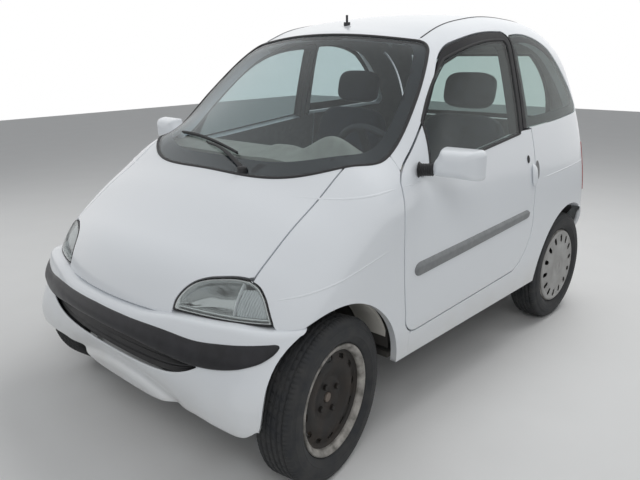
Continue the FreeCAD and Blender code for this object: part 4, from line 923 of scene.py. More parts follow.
lowered = shrunk(screenOutline, (0, -0.33), 0.915, 0.86)
pane, band = buildGlass("screen_glass_pane", screenOutline, onTop, screenChart, screenGlass, lowered)
fit(pane, "glass", "windscreen")
fit(band, "glass", "windscreen", hide=False)
sealLine = onTop(*grown(screenOutline, 0.001).T)
seal = sweep("screen_seal", sealLine, surfaceNormals(sealLine), halfRound(0.0065, 0.004, -0.004), rubber, True)
fit(seal, "black_plastic", "windscreen", hide=False)

for word, side in sides:
    pane, band = buildGlass(f"door_glass_{word}_pane", windowOutline, onSide, sideChart, sideGlass,
                            shrunk(windowOutline, (0, 1.12), 0.975, 0.955), side)
    fit(pane, "glass", f"door_glass_{word}")
    fit(band, "glass", f"door_glass_{word}", hide=False)
    inner = shrunk(quarterOutline, (0.62, 1.21), 0.85, 0.80)
    pane, band = buildGlass(f"quarter_glass_{word}_pane", quarterOutline, onSide, sideChart, sideGlass, inner, side)
    fit(pane, "glass", "quarter_glass")
    fit(band, "glass", "quarter_glass", hide=False)
print("stage: glass")


# Bumpers

# Each level of a bumper: height, then its outline there: the middle's place along, the shoulder's place across and
# along and the corner's, as distances from the car's middle
frontLevels = np.array([
    (0.215, 1.190, 0.560, 1.170, 0.662, 1.150),
    (0.330, 1.222, 0.580, 1.188, 0.695, 1.140),
    (0.430, 1.250, 0.560, 1.172, 0.703, 1.088),
    (0.505, 1.263, 0.540, 1.168, 0.699, 1.008),
    (0.556, 1.243, 0.535, 1.150, 0.697, 0.975),
])
rearLevels = np.array([
    (0.255, 1.228, 0.500, 1.174, 0.685, 1.010),
    (0.430, 1.260, 0.505, 1.203, 0.695, 1.030),
    (0.556, 1.258, 0.505, 1.200, 0.686, 1.030),
])
bumperValues = {
    "front": {"levels": frontLevels, "sign": -1, "low": 0.229, "lowRise": 0.036, "arch": (-0.853, 0.2765, 0.304)},
    "rear": {"levels": rearLevels, "sign": 1, "low": 0.255, "lowRise": 0.012, "arch": (0.836, 0.2665, 0.322)},
    "top": 0.556, "ledge": 0.060, "round": 0.014, "wall": 0.004, "hem": 0.020,
    "lampRise": 0.017, "channel": 0.018, "channelHeight": 0.305, "channelFall": 0.060, "channelEnd": 0.49,
    "channelAbove": 0.040, "channelBelow": 0.017, "cornerBulge": 0.008, "cornerRound": 0.030,
    "grilleLow": 0.377, "grilleRise": 0.060, "grilleEnd": 0.66, "grilleDepth": 0.022,
    "stripOut": 0.0108, "stripEnd": 0.965, "holeRows": 4, "flange": 0.022,
}
# The rubber strip: share of its length from the middle, height of its middle line, half its height
stripTable = np.array([
    (0.00, 0.510, 0.027), (0.30, 0.503, 0.029), (0.50, 0.489, 0.034), (0.64, 0.481, 0.0365), (0.80, 0.487, 0.036),
    (0.90, 0.497, 0.031), (1.00, 0.511, 0.020),
])


def stripLine(t):
    # Height of the strip's middle line and half its height, t going from the car's middle to the wheel arch
    share = np.clip(np.abs(t) / bumperValues["stripEnd"], 0, 1)
    return smoothBetween(stripTable[:, 0], stripTable[:, 1:], share.ravel()).T.reshape(2, *share.shape)


def grilleLine(t):
    # The lower edge of the grille's opening, which turns up to the strip at its end
    b = bumperValues
    return b["grilleLow"] + b["grilleRise"] * np.minimum(np.abs(t) / b["grilleEnd"], 1) ** 5


def bumperPoint(end, z, s, inset):
    # A place on a bumper at height z, s metres round its outline from the middle, drawn inwards by inset. The
    # outline is an arc out to the shoulder, a tangent arc round the corner and a straight run back.
    b = bumperValues[end]
    z, s, inset = np.broadcast_arrays(z, s, inset)
    shape = z.shape
    rows = smoothBetween(b["levels"][:, 0], b["levels"][:, 1:], np.clip(z.ravel(), *b["levels"][[0, -1], 0]))
    middle, shoulderX, shoulder, cornerX, corner = [c.reshape(shape) for c in rows.T]
    drop = middle - shoulder
    bowRadius = (shoulderX ** 2 + drop ** 2) / (2 * drop)
    bow = 2 * np.arctan(drop / shoulderX)
    chordX, chordY = cornerX - shoulderX, corner - shoulder
    inward = -np.sin(bow) * chordX - np.cos(bow) * chordY
    chord = np.hypot(chordX, chordY)
    turnRadius = chord ** 2 / (2 * inward)
    turn = 2 * np.arcsin(np.clip(chord / (2 * turnRadius), 0, 1))
    first, second = bowRadius * bow, turnRadius * turn
    a = np.clip(s, 0, first) / bowRadius
    x, w = bowRadius * np.sin(a), middle - bowRadius * (1 - np.cos(a))
    c = np.clip(s - first, 0, second) / turnRadius
    x = x + turnRadius * (np.sin(bow + c) - np.sin(bow))
    w = w + turnRadius * (np.cos(bow + c) - np.cos(bow))
    rest = np.maximum(s - first - second, 0)
    heading = a + c
    x, w = x + rest * np.cos(heading), w - rest * np.sin(heading)
    x, w = x - np.sin(heading) * inset, w - np.cos(heading) * inset
    return np.stack((x, b["sign"] * w, z), -1)


def bumperLength(end, z):
    # How far round the outline the wheel arch lies, at each height
    b = bumperValues[end]
    y, up, r = b["arch"]
    table = np.linspace(b["low"] - 0.01, bumperValues["top"], 40)
    reach = b["sign"] * y + np.sqrt(r ** 2 - np.maximum(table - up, 0) ** 2)
    s = np.linspace(0.3, 1.3, 500)
    far = np.abs(bumperPoint(end, table[:, None], s[None], 0)[..., 1])
    ends = np.array([np.interp(-q, -row, s) for q, row in zip(reach, far)])
    return np.interp(z, table, ends)


def smoothStep(x, low, high):
    # 0 below low and 1 above high, and 3 t^2 - 2 t^3 between them
    t = np.clip((x - low) / (high - low), 0, 1)
    return t * t * (3 - 2 * t)


def bumperFace(end, t, z, inset):
    # The dressed face: t goes from the middle, 0, to the wheel arch, 1
    b = bumperValues
    t, z, inset = np.broadcast_arrays(t, z, inset)
    grow = np.zeros_like(t)
    rise = np.zeros_like(t)
    if end == "front":
        away = smoothStep(t, 0.24, 0.50) * (1 - smoothStep(t, 0.70, 0.95))
        rise = b["lampRise"] * away * smoothStep(z, 0.500, 0.556)
        above = z - b["channelHeight"] + b["channelFall"] * (t / b["channelEnd"]) ** 2
        hollow = np.exp(-(above / np.where(above > 0, b["channelAbove"], b["channelBelow"])) ** 2)
        grow = b["channel"] * hollow * (1 - smoothStep(t, 0.46, 0.60))
        grow = grow - b["cornerBulge"] * smoothStep(t, 0.55, 0.8) * (1 - smoothStep(z, 0.27, 0.40)) * (
            1 - smoothStep(t, 0.9, 1.0))
    p = bumperPoint(end, z, t * bumperLength(end, z), inset + grow)
    p[..., 2] += rise
    return p


def bumperRows(end, t, count):
    # Heights and insets of the rows, from the hem under the lower edge up the face, past the grille and over the top
    b = bumperValues
    low = b[end]["low"] + b[end]["lowRise"] * smoothStep(t, 0.20, 0.66)
    low = low + b["cornerRound"] * smoothStep(t, 0.92, 1) ** 2
    hem = [(0.010, b["hem"]), (0.002, b["hem"] * 0.6), (0.0, 0.006), (0.001, 0.002)]
    z = [low + a for a, _ in hem]
    inset = [np.full_like(t, d) for _, d in hem]
    knee = grilleLine(t) if end == "front" else np.full_like(t, 0.400)
    shelf = stripLine(t)[0] if end == "front" else np.full_like(t, 0.450)
    bands = ((low, knee, count), (knee, shelf, b["holeRows"]), (shelf, b["top"] - b["round"], count // 2))
    for first, last, steps in bands:
        for k in np.linspace(0, 1, steps + 1)[1:]:
            z.append(first + (last - first) * k)
            inset.append(np.zeros_like(t))
    for angle in np.linspace(0, math.pi / 2, 5)[1:]:
        z.append(np.full_like(t, b["top"] - b["round"] * (1 - math.sin(angle))))
        inset.append(np.full_like(t, b["round"] * (1 - math.cos(angle))))
    for d in (0.5, 1.0):
        z.append(np.full_like(t, b["top"]))
        inset.append(np.full_like(t, b["round"] + (b["ledge"] - b["round"]) * d))
    return np.array(z), np.array(inset)


def gridFaces(rows, columns):
    # Quads between the neighbouring rows and columns of a grid
    i, j = np.meshgrid(np.arange(rows - 1), np.arange(columns - 1), indexing="ij")
    a = (i * columns + j).ravel()
    return np.stack((a, a + 1, a + columns + 1, a + columns), 1)


def turnFaces(obj, way):
    # Turns all the faces over where they mostly look against way, one direction or one for each face
    normals = np.zeros(len(obj.data.polygons) * 3)
    obj.data.polygons.foreach_get("normal", normals)
    if (normals.reshape(-1, 3) * way).sum() < 0:
        obj.data.flip_normals()
    return obj


def addWall(obj, thickness, even=False):
    # Gives an open sheet a thickness behind its faces
    wall = obj.modifiers.new("wall", "SOLIDIFY")
    wall.thickness = thickness
    wall.offset = -1
    wall.use_even_offset = even


def buildShell(name, grid, materials, wall, keep=None, even=True):
    # A sheet with a wall: grid is (rows, columns, 3), keep says which of its faces stay
    rows, columns = grid.shape[:2]
    faces = gridFaces(rows, columns)
    if keep is not None:
        faces = faces[keep.ravel()]
    used, index = np.unique(faces, return_inverse=True)
    obj = makeMesh(name, grid.reshape(-1, 3)[used], index.reshape(faces.shape).tolist(), materials)
    addWall(obj, wall, even)
    obj.data.set_sharp_from_angle(angle=sharpAngle)
    return obj


def bumperGrid(end, columns, count):
    # The face as rows by places round it, mirrored about the middle, with a flange at the wheel arch
    edge = bumperValues["grilleEnd"]
    half = np.concatenate((np.linspace(0, edge, columns), np.linspace(edge, 1, columns // 2)[1:], (1, 1)))
    t = np.concatenate((-half[:0:-1], half))
    z, inset = bumperRows(end, np.abs(t), count)
    row = np.arange(len(z))  # the face's edge at the wheel arch turns inwards
    turned = bumperValues["flange"] * smoothStep(row, 3, 6) * (1 - smoothStep(row, len(z) - 10, len(z) - 7))
    inset[:, [1, -2]] += turned[:, None] * 0.45
    inset[:, [0, -1]] += turned[:, None]
    p = bumperFace(end, np.broadcast_to(np.abs(t), z.shape), z, inset)
    p[..., 0] *= np.where(t < 0, -1, 1)
    return p, t


def frontBumper():
    # The opening is the grid between the grille's line and the strip's
    b = bumperValues
    rows = 22
    p, t = bumperGrid("front", 49, rows)
    level = np.arange(len(p) - 1)[:, None]
    inside = np.abs(t[:-1] + t[1:])[None] / 2 < b["grilleEnd"]
    hole = (level >= rows + 3) & (level < rows + 3 + b["holeRows"]) & inside
    return buildShell("front_bumper_skin", p, (paint,), b["wall"], ~hole, even=False)


def faceOutward(obj):
    # Turns every face of an open sheet so that it looks away from the car's middle
    centres = np.zeros(len(obj.data.polygons) * 3)
    obj.data.polygons.foreach_get("center", centres)
    return turnFaces(obj, centres.reshape(-1, 3) - (0, 0, 0.5))


def rearBumper():
    return buildShell("rear_bumper_skin", bumperGrid("rear", 41, 12)[0], (paint,), bumperValues["wall"], even=False)


def bumperStrip():
    # A rubber strip round the front: its section is fuller below the middle, and its ends are rounded off
    b = bumperValues
    t = np.sin(np.linspace(-math.pi / 2, math.pi / 2, 181)) * 0.5 + np.linspace(-1, 1, 181) * 0.5
    taper = np.sqrt(np.clip(1 - np.clip((np.abs(t) - 0.95) / 0.05, 0, 1) ** 2, 0.0004, 1))
    t = t * b["stripEnd"]
    middle, half = stripLine(t)
    turn = np.linspace(0, 2 * math.pi, 32, endpoint=False)
    c, s = np.cos(turn), np.sin(turn)
    high = np.sign(s) * np.abs(s) ** 0.8
    out = np.where(c > 0, np.abs(c) ** 0.75 * (1 - 0.30 * high), -0.15 * np.abs(c))
    z = middle[:, None] + (half * taper)[:, None] * high[None]
    inset = -b["stripOut"] * out[None] * np.maximum(taper, 0.05)[:, None]
    p = bumperFace("front", np.broadcast_to(np.abs(t)[:, None], z.shape), z, inset)
    p[..., 0] *= np.where(t < 0, -1, 1)[:, None]
    return ringMesh("bumper_strip_skin", p, stripRubber)


def grilleInsert():
    # Louvres across the opening: the depth is a saw's tooth up it, and the ends run back to the wall
    b = bumperValues
    span = np.linspace(-1, 1, 121)
    t = np.abs(span) * (b["grilleEnd"] + 0.012)
    share = np.linspace(0, 1, 49)[:, None]
    low, high = grilleLine(t) - 0.014, stripLine(t)[0] + 0.004
    z = low + (high - low) * share
    tooth = (share * 5) % 1
    depth = b["grilleDepth"] * (0.45 + 0.55 * np.abs(2 * tooth - 1))
    inset = 0.0055 + depth * (1 - smoothStep(np.abs(span), 0.965, 1.0))[None]
    p = bumperFace("front", np.broadcast_to(t, z.shape), z, inset)
    p[..., 0] *= np.where(span < 0, -1, 1)[None]
    return buildShell("grille_louvres", p, (grilleBlack,), 0.003)


stripRubber = mottled("stripRubber", (0.012, 0.012, 0.014), (0.026, 0.026, 0.030), 0.40, 25, bump=0.12, bumpScale=900,
                      **{"Specular IOR Level": 0.3})
grilleBlack = mottled("grilleBlack", (0.006, 0.006, 0.007), (0.013, 0.013, 0.015), 0.45, 30,
                      **{"Specular IOR Level": 0.3})
fit(faceOutward(frontBumper()), "white_paint", "front_bumper")
fit(faceOutward(rearBumper()), "white_paint", "rear_bumper")
fit(bumperStrip(), "black_plastic", "bumper_strip")
fit(faceOutward(grilleInsert()), "black_plastic", "front_grille")
print("stage: bumpers")


# Headlamps and tail lamps

lampGlass = clearGlass("lampGlass", (0.93, 0.95, 0.95), 0.03)
reflector = newMaterial("reflector", (0.42, 0.43, 0.43), 0.15, 0.95)
tailRed = mottled("tailRed", (0.30, 0.008, 0.008), (0.42, 0.012, 0.012), 0.15, 60, **{"Coat Weight": 0.5})
lampWhite = newMaterial("lampWhite", (0.80, 0.81, 0.82), 0.35)
lampFrost = newMaterial("lampFrost", (0.46, 0.48, 0.49), 0.25, 0.5)
lampValues = {
    "wall": 0.004, "bowlDepth": 0.050, "bowlWall": 0.002, "edgeDepth": 0.012, "ribs": 90, "ribHeight": 0.0008,
    "dividerTop": (0.508, 0.674), "dividerFoot": (0.521, 0.586), "rimInner": (0.338, 0.592),
    "rimOuter": (0.617, 0.584), "frostLow": 0.582, "frostHigh": 0.662, "frostDepth": 0.016, "frostRib": 0.0016,
    "frostPitch": 0.0075,
}


def lampLoop(shrink=0.0):
    # The lamp's closed edge, drawn in by shrink, on the skin and flat
    outline = np.concatenate((lampOutline["inner"], lampOutline["outer"][1:]))
    bottom = straight(tuple(outline[-1]), tuple(outline[0]))[1:-1]
    outline = np.concatenate((outline, bottom))
    outline = grown(outline, -shrink)
    return onFront(*outline.T), outline


def lampBowl(name, side):
    # The reflector behind the lens: a dish whose depth grows from the rim to the middle, ribbed across
    g = lampValues
    outline = lampLoop(0.004)[1]
    centre = outline.mean(0)
    rings = np.linspace(1, 0.04, 18)
    flat = (centre + (outline[None] - centre) * rings[:, None, None]).reshape(-1, 2)
    p = onFront(*flat.T)
    share = np.repeat(1 - rings ** 2.5, len(outline))
    rib = g["ribHeight"] * np.cos(flat[:, 0] * 2 * math.pi * g["ribs"])
    depth = g["edgeDepth"] * (share > 0) + g["bowlDepth"] * share + rib * (share > 0.1)
    n, m = len(rings), len(outline)
    p = (p - surfaceNormals(p) * depth[:, None]).reshape(n, m, 3)
    if side < 0:
        p = p[:, ::-1] * (-1, 1, 1)
    points = np.concatenate((p.reshape(-1, 3), p[-1:].mean(1)))
    faces = ringFaces(n, m).tolist() + fanFaces((n - 1) * m, m, n * m).tolist()
    bowl = turnFaces(makeMesh(name, points, faces, [reflector]), (0, -1, 0))
    addWall(bowl, g["bowlWall"])
    return bowl


def between(a, b, t):
    # Points on the line from a to b, at the shares t of it
    return np.array(a) + (np.array(b) - a) * np.asarray(t)[:, None]


def lampBar(name, ends, count, behind, profile, material):
    # A straight bar across the lamp, behind its lens
    p = onFront(*between(*ends, np.linspace(0, 1, count)).T)
    n = surfaceNormals(p)
    return sweep(name, p - n * behind, n, profile, material)


def buildLamp(side, word):
    # One lamp: lens, bowl, gasket, divider, rim and indicator
    g = lampValues
    lens = buildPanel(f"headlamp_lens_{word}", [lampLoop(0.0008)[0]], sideChart, g["wall"], (lampGlass, lampGlass),
                      0.012, 0.0005, 0.001, side)
    fit(lens, "lamp_clear", "headlamps")
    fit(lampBowl(f"headlamp_bowl_{word}", side), "lamp_clear", "headlamps", hide=False)
    edge = lampLoop(-0.001)[0]
    gasket = sweep(f"headlamp_gasket_{word}", edge, surfaceNormals(edge), halfRound(0.0022, 0.0010, -0.006),
                   rubber, True)
    divider = lampBar(f"headlamp_divider_{word}", (g["dividerTop"], g["dividerFoot"]), 16, 0.010,
                      halfRound(0.0045, 0.003, -0.030), lampWhite)
    rim = lampBar(f"headlamp_rim_{word}", (g["rimInner"], g["rimOuter"]), 30, 0.008,
                  halfRound(0.0055, 0.002, -0.010), reflector)
    for piece in (gasket, divider, rim, indicatorRibs(f"headlamp_indicator_{word}")):
        if side < 0:
            other = twin(piece, piece.name)
            bpy.data.objects.remove(piece)
            piece = other
        fit(piece, "lamp_clear", "headlamps", hide=False)


def indicatorRibs(name):
    # The outer third of the lamp: a sheet behind the lens whose depth is a cosine of the place across
    g = lampValues
    outer = lampOutline["outer"][::-1]
    z = np.linspace(g["frostLow"], g["frostHigh"], 26)
    high = np.interp(z, outer[:, 1], outer[:, 0]) - 0.007
    foot, top = g["dividerFoot"], g["dividerTop"]
    low = np.interp(z, (foot[1], top[1]), (foot[0], top[0])) + 0.005
    x = low[:, None] + np.maximum(high - low, 0.004)[:, None] * np.linspace(0, 1, 80)
    p = onFront(x.ravel(), np.repeat(z, x.shape[1]))
    depth = g["frostDepth"] + g["frostRib"] * np.cos(x.ravel() * 2 * math.pi / g["frostPitch"])
    p = (p - surfaceNormals(p) * depth[:, None]).reshape(*x.shape, 3)
    return faceOutward(buildShell(name, p, (lampFrost,), 0.0015))


tailLampValues = {"low": 0.625, "high": 0.860, "inner": 0.520, "headInner": 0.575, "sideEnd": 1.035}


def tailLampLoop():
    # From the inner foot round the corner, up the side, back over the head and down the inner edge
    v = tailLampValues
    low, high, inner, head = v["low"], v["high"], v["inner"], v["headInner"]
    up = onSide(v["sideEnd"], np.linspace(low, high, 20))
    bottom = aroundCorner(low, onRear(inner, low)[0, :2], up[0, :2], "rear")
    top = aroundCorner(high, up[-1, :2], onRear(head, high)[0, :2], "rear")
    down = route([("start", (head, high)), ("arc", (0.545, 0.835), (inner, 0.790)), ("line", (inner, low))])
    return joinRoutes(bottom, up, top, onRear(*down.T))


for word, side in sides:
    buildLamp(side, word)
    lamp = buildPanel(f"tail_lamp_{word}_lens", [tailLampLoop()], sideChart, 0.02, (tailRed, blackTrim),
                      0.016, 0.003, 0.002, side)
    fit(lamp, "lamp_red", "tail_lamps")
print("stage: lamps")


# Wheels

joints = {j["name"]: j for j in frame["record"]["behaviour"]["joints"]}
tyreRubber = mottled("tyreRubber", (0.016, 0.018, 0.021), (0.044, 0.044, 0.044), 0.82, 22, bump=0.25, bumpScale=700)
wornRim = mottled("wornRim", (0.10, 0.095, 0.085), (0.46, 0.44, 0.41), 0.55, 26, 0.3, bump=0.15)
darkDisc = mottled("darkDisc", (0.010, 0.010, 0.010), (0.034, 0.027, 0.022), 0.6, 14, 0.3, bump=0.25)
coverSilver = mottled("coverSilver", (0.27, 0.265, 0.255), (0.42, 0.42, 0.41), 0.5, 12, 0.25, bump=0.1)
wheelValues = {
    "wall": 0.0725, "seat": 0.1655, "lip": 0.1815, "bead": 0.0492, "columns": 324, "blocks": 54,
    "grooves": (0.0, 0.019, 0.038), "grooveHalf": 0.0028, "grooveDepth": 0.0055, "sipeDepth": 0.0035,
    "slant": 0.050, "discSlots": 12, "coverSlots": 14, "coverBase": 0.0580,
    "boltCircle": 0.049, "bolts": 4, "closedBelow": 0.004,
    "ridges": ((0.207, 0.0022), (0.238, 0.0018)), "sideBand": (0.190, 0.246), "sideHollow": 0.0014,
}


def axleFrame(joint, outward):
    # The wheel's middle, its axle outwards, and the ways ahead and up across the axle
    j = joints[joint]
    axis = np.array(j["axis"], float) * outward
    axis /= np.linalg.norm(axis)
    up = np.array((0, 0, 1.0)) - axis * axis[2]
    up /= np.linalg.norm(up)
    return np.array(j["pos_m"], float), axis, np.cross(up, axis), up


def onAxle(place, along, radius, angle):
    # middle + axle * along + radius * (ahead * cos + up * sin)
    middle, axis, ahead, up = place
    c, s = np.cos(angle)[..., None], np.sin(angle)[..., None]
    return middle + axis * along[..., None] + radius[..., None] * (ahead * c + up * s)


def revolved(name, profile, place, material, columns):
    # A closed (along the axle, radius) profile carried round the axle
    profile = np.asarray(profile, float)
    turn = np.linspace(0, 2 * math.pi, columns, endpoint=False)
    along, angle = np.broadcast_arrays(profile[None, :, 0], turn[:, None])
    return ringMesh(name, onAxle(place, along, np.broadcast_to(profile[:, 1], along.shape), angle), material, True)


def tyreMesh(name, place):
    # The tyre's section goes round the axle. Grooves cut into its tread, and slanting slits cross the ribs.
    w = wheelValues
    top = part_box("tyre_rear_left")
    radius = (top[1][2] - top[0][2]) / 2 - 0.0002
    wall, seat, lip, bead = w["wall"], w["seat"], w["lip"], w["bead"]
    middle = (lip + radius) / 2
    half = np.concatenate((
        np.array([(bead * 0.5, seat), (bead, seat), (bead, lip)]),
        arcThrough(np.array((bead, lip)), np.array((wall, middle)),
                   np.array((wall - 0.009, radius - 0.018)), 0.003)[1:],
        arcThrough(np.array((wall - 0.009, radius - 0.018)), np.array((wall - 0.015, radius - 0.006)),
                   np.array((wall - 0.026, radius)), 0.0028)[1:],
        np.stack((np.linspace(wall - 0.026, 0, 24)[1:], np.full(23, radius)), 1),
    ))
    profile = np.concatenate((half, half[-2::-1] * (-1, 1)))
    a, r = profile.T
    ridge = sum(np.exp(-((r - at) / width) ** 2) for at, width in w["ridges"])
    low, high = w["sideBand"]
    a = a - np.sign(a) * w["sideHollow"] * (1 - ridge) * ((r > low) & (r < high))
    away = np.abs(a)
    groove = np.zeros_like(a)
    for middleLine in w["grooves"]:
        groove = np.maximum(groove, np.clip(1.6 - np.abs(away - middleLine) / w["grooveHalf"], 0, 1))
    tread = np.clip((r - radius + 0.012) / 0.010, 0, 1)
    turn = np.linspace(0, 2 * math.pi, w["columns"], endpoint=False)
    shear = w["slant"] * np.sin(np.clip(a / 0.052, -1, 1) * math.pi / 2)
    angle = turn[:, None] + shear[None]
    beat = np.arange(w["columns"]) % (w["columns"] // w["blocks"])
    slit = (beat == 0)[:, None] & (away > 0.006)[None] | (beat == 3)[:, None] & (away > 0.038)[None]
    cut = np.maximum(groove[None] * w["grooveDepth"], slit * w["sipeDepth"]) * tread[None]
    rings = onAxle(place, np.broadcast_to(a[None], angle.shape), r[None] - cut, angle)
    return ringMesh(name, rings, tyreRubber, True)


def polarSheet(name, place, radii, heights, columns, keep, material, wall):
    # A dished sheet round the axle: heights are places along the axle, and keep(radius, angle) says what stays
    turn = np.linspace(0, 2 * math.pi, columns, endpoint=False)
    r, t = np.meshgrid(radii, turn, indexing="ij")
    h = np.broadcast_to(heights[:, None], r.shape)
    points = onAxle(place, h, r, t).reshape(-1, 3)
    midR = (radii[:-1] + radii[1:]) / 2
    midT = turn + math.pi / columns
    stay = keep(midR[:, None], midT[None]).ravel()
    faces = ringFaces(len(radii), columns)[stay].tolist()
    if radii[0] < wheelValues["closedBelow"]:
        points = np.concatenate((points, (place[0] + place[1] * heights[0])[None]))
        faces += fanFaces(0, columns, len(points) - 1)[:, ::-1].tolist()
    used, index = np.unique(np.concatenate(faces), return_inverse=True)
    cuts = np.cumsum([len(f) for f in faces])[:-1]
    faces = [f.tolist() for f in np.split(index, cuts)]
    obj = makeMesh(name, points[used], faces, [material])
    turnFaces(obj, place[1])
    obj.data.set_sharp_from_angle(angle=math.radians(45))
    addWall(obj, wall)
    return obj


def slots(count, middle, halfLength, halfWidth, phase=0.0, power=3.5):
    # Rounded openings on a circle, longer along the radius: everything but them stays
    def keep(r, t):
        pitch = 2 * math.pi / count
        off = (t - phase + pitch / 2) % pitch - pitch / 2
        return (np.abs((r - middle) / halfLength) ** power + np.abs(off * middle / halfWidth) ** power) > 1
    return keep


def bolts(name, place, count, circle, base, high, radius, material):
    # Six-sided heads on a circle, each a small prism with a shrunk top
    turn = np.linspace(0, 2 * math.pi, 6, endpoint=False)
    middle, axis, ahead, up = place
    made = []
    for k in range(count):
        t = 2 * math.pi * k / count + 0.4
        centre = middle + circle * (ahead * math.cos(t) + up * math.sin(t))
        ring = radius * (np.cos(turn)[:, None] * ahead + np.sin(turn)[:, None] * up)
        rings = np.stack([centre + axis * a + ring * s for a, s in ((base, 1), (high - 0.002, 1), (high, 0.8))])
        made.append(ringMesh(f"{name}_{k}", rings, material, smooth=False))
    return joined(name, *made)


def wheelMesh(name, place):
    # Steel wheel: a barrel with rolled lips, a dished disc with slots, a drum behind it and four bolts
    w = wheelValues
    barrel = [(-0.0573, 0.181), (-0.0497, 0.181), (-0.0497, 0.165), (0.0497, 0.165), (0.0497, 0.1800)]
    roll = arcThrough(np.array((0.0500, 0.1808)), np.array((0.0572, 0.1780)), np.array((0.0560, 0.1715)), 0.0015)
    inner = np.array([(0.0520, 0.1690), (0.0490, 0.1640), (0.0460, 0.1605), (0.0400, 0.1590), (-0.0400, 0.1585),
                      (-0.0530, 0.1620), (-0.0572, 0.1700)])
    rim = revolved(f"{name}_rim", np.concatenate((barrel, roll, inner)), place, wornRim, 144)
    knots = np.array((0.0150, 0.030, 0.050, 0.060, 0.068, 0.080, 0.100, 0.118, 0.135, 0.146, 0.1535, 0.1588))
    faces = np.array((0.0185, 0.0235, 0.0240, 0.0235, 0.0225, 0.0270, 0.0345, 0.0350, 0.0310, 0.0295, 0.0310, 0.0370))
    radii = np.concatenate((np.linspace(0.0160, 0.110, 34), np.linspace(0.112, 0.1588, 24)))
    disc = polarSheet(f"{name}_disc", place, radii, smoothBetween(knots, faces, radii), 180,
                      slots(w["discSlots"], 0.1360, 0.0085, 0.0135), darkDisc, 0.0035)
    drum = revolved(f"{name}_drum", [(-0.0448, 0.0170), (-0.0448, 0.0610), (0.0150, 0.0610), (0.0195, 0.0560),
                                     (0.0195, 0.0170)], place, darkDisc, 72)
    heads = bolts(f"{name}_bolts", place, w["bolts"], w["boltCircle"], 0.0225, 0.0335, 0.0095, darkDisc)
    return rim, disc, drum, heads


def coverMesh(name, place):
    # Wheel cover: a raised outer ring, slots inside it and a shallow dish with a capped middle
    w = wheelValues
    knots = np.array((0.0, 0.026, 0.030, 0.036, 0.060, 0.100, 0.118, 0.128, 0.140, 0.155, 0.1595, 0.166, 0.1725,
                      0.1778))
    rise = np.array((0.0125, 0.0130, 0.0118, 0.0108, 0.0122, 0.0112, 0.0098, 0.0085, 0.0075, 0.0058, 0.0062, 0.0072,
                     0.0058, 0.0020))
    radii = np.concatenate((np.linspace(0.001, 0.105, 30), np.linspace(0.107, 0.1778, 38)))
    return polarSheet(name, place, radii, w["coverBase"] + smoothBetween(knots, rise, radii), 252,
                      slots(w["coverSlots"], 0.1400, 0.0190, 0.0105, 0.1, 2.6), coverSilver, 0.0018)


for word, side in sides:
    for end in ("front", "rear"):
        place = axleFrame(f"spin_{end}_{word}", side)
        fit(tyreMesh(f"tyre_{end}_{word}_tread", place), "tyre_rubber", f"tyre_{end}_{word}")
        for piece in wheelMesh(f"wheel_{end}_{word}", place):
            fit(piece, "dark_steel", f"wheel_{end}_{word}")
    fit(coverMesh(f"cover_rear_{word}_dish", place), "grey_plastic", f"cover_rear_{word}")
print("stage: wheels")


# Mirrors, mouldings and handles

mirrorGlass = newMaterial("mirrorGlass", (0.75, 0.77, 0.78), 0.04, 1.0)
greyStrip = mottled("greyStrip", (0.17, 0.18, 0.185), (0.24, 0.25, 0.255), 0.45, 30, bump=0.12)
mirrorValues = {
    "back": -0.3560, "depth": 0.0665, "armRadius": 0.0200, "pleat": 0.0075, "pleatDepth": 0.0016, "foot": 0.006,
    "armStart": (0.6720, -0.4060, 0.9300), "armEnd": (0.7190, -0.3920, 0.9340),
}
mirrorOutline = route([
    ("start", (0.7080, 0.925)), ("arc", (0.7095, 0.950), (0.7220, 0.972)), ("arc", (0.7320, 0.990), (0.7360, 1.000)),
    ("arc", (0.7410, 1.0065), (0.7500, 1.0080)), ("line", (0.8680, 1.0096)),
    ("arc", (0.8835, 1.0040), (0.8890, 0.988)), ("line", (0.8892, 0.932)),
    ("arc", (0.8850, 0.9170), (0.8700, 0.9115)), ("line", (0.7250, 0.9108)),
    ("arc", (0.7130, 0.9140), (0.7080, 0.925)),
], 0.003)[:-1]


def mirrorHousing(name):
    # Shrinking copies of the outline, each further forward: depth * (1 - share ^ 4) ^ 0.5
    m = mirrorValues
    share = np.concatenate(((0.90, 0.93), np.sin(np.linspace(math.pi / 2, 0.1, 26)) ** 0.6))
    y = m["back"] - m["depth"] * (1 - np.clip(share, 0, 1) ** 4) ** 0.5
    y[:2] = m["back"] + np.array((0.004, 0.0005)) - 0.005
    centre = mirrorOutline.mean(0)
    flat = centre + (mirrorOutline[None] - centre) * share[:, None, None]
    along = np.broadcast_to(y[:, None], flat.shape[:2])
    return ringMesh(name, np.stack((flat[..., 0], along, flat[..., 1]), -1), paint)


def mirrorArm(name):
    # A pleated sleeve: the radius swings with the distance along it, and widens to a foot on the door
    m = mirrorValues
    t = np.linspace(0, 1, 61)
    path = between(m["armStart"], m["armEnd"], t)
    pleats = np.linalg.norm(path[-1] - path[0]) / m["pleat"]
    radius = m["armRadius"] + m["pleatDepth"] * np.cos(2 * math.pi * t * pleats) + m["foot"] * np.exp(-t * 14)
    circle = np.stack(ellipse((0, 0), 1, 1, 28), 1)
    upward = np.broadcast_to((0, 0, 1.0), path.shape)
    return sweep(name, path, upward, circle, rubber, scale=np.stack((radius, radius), 1))


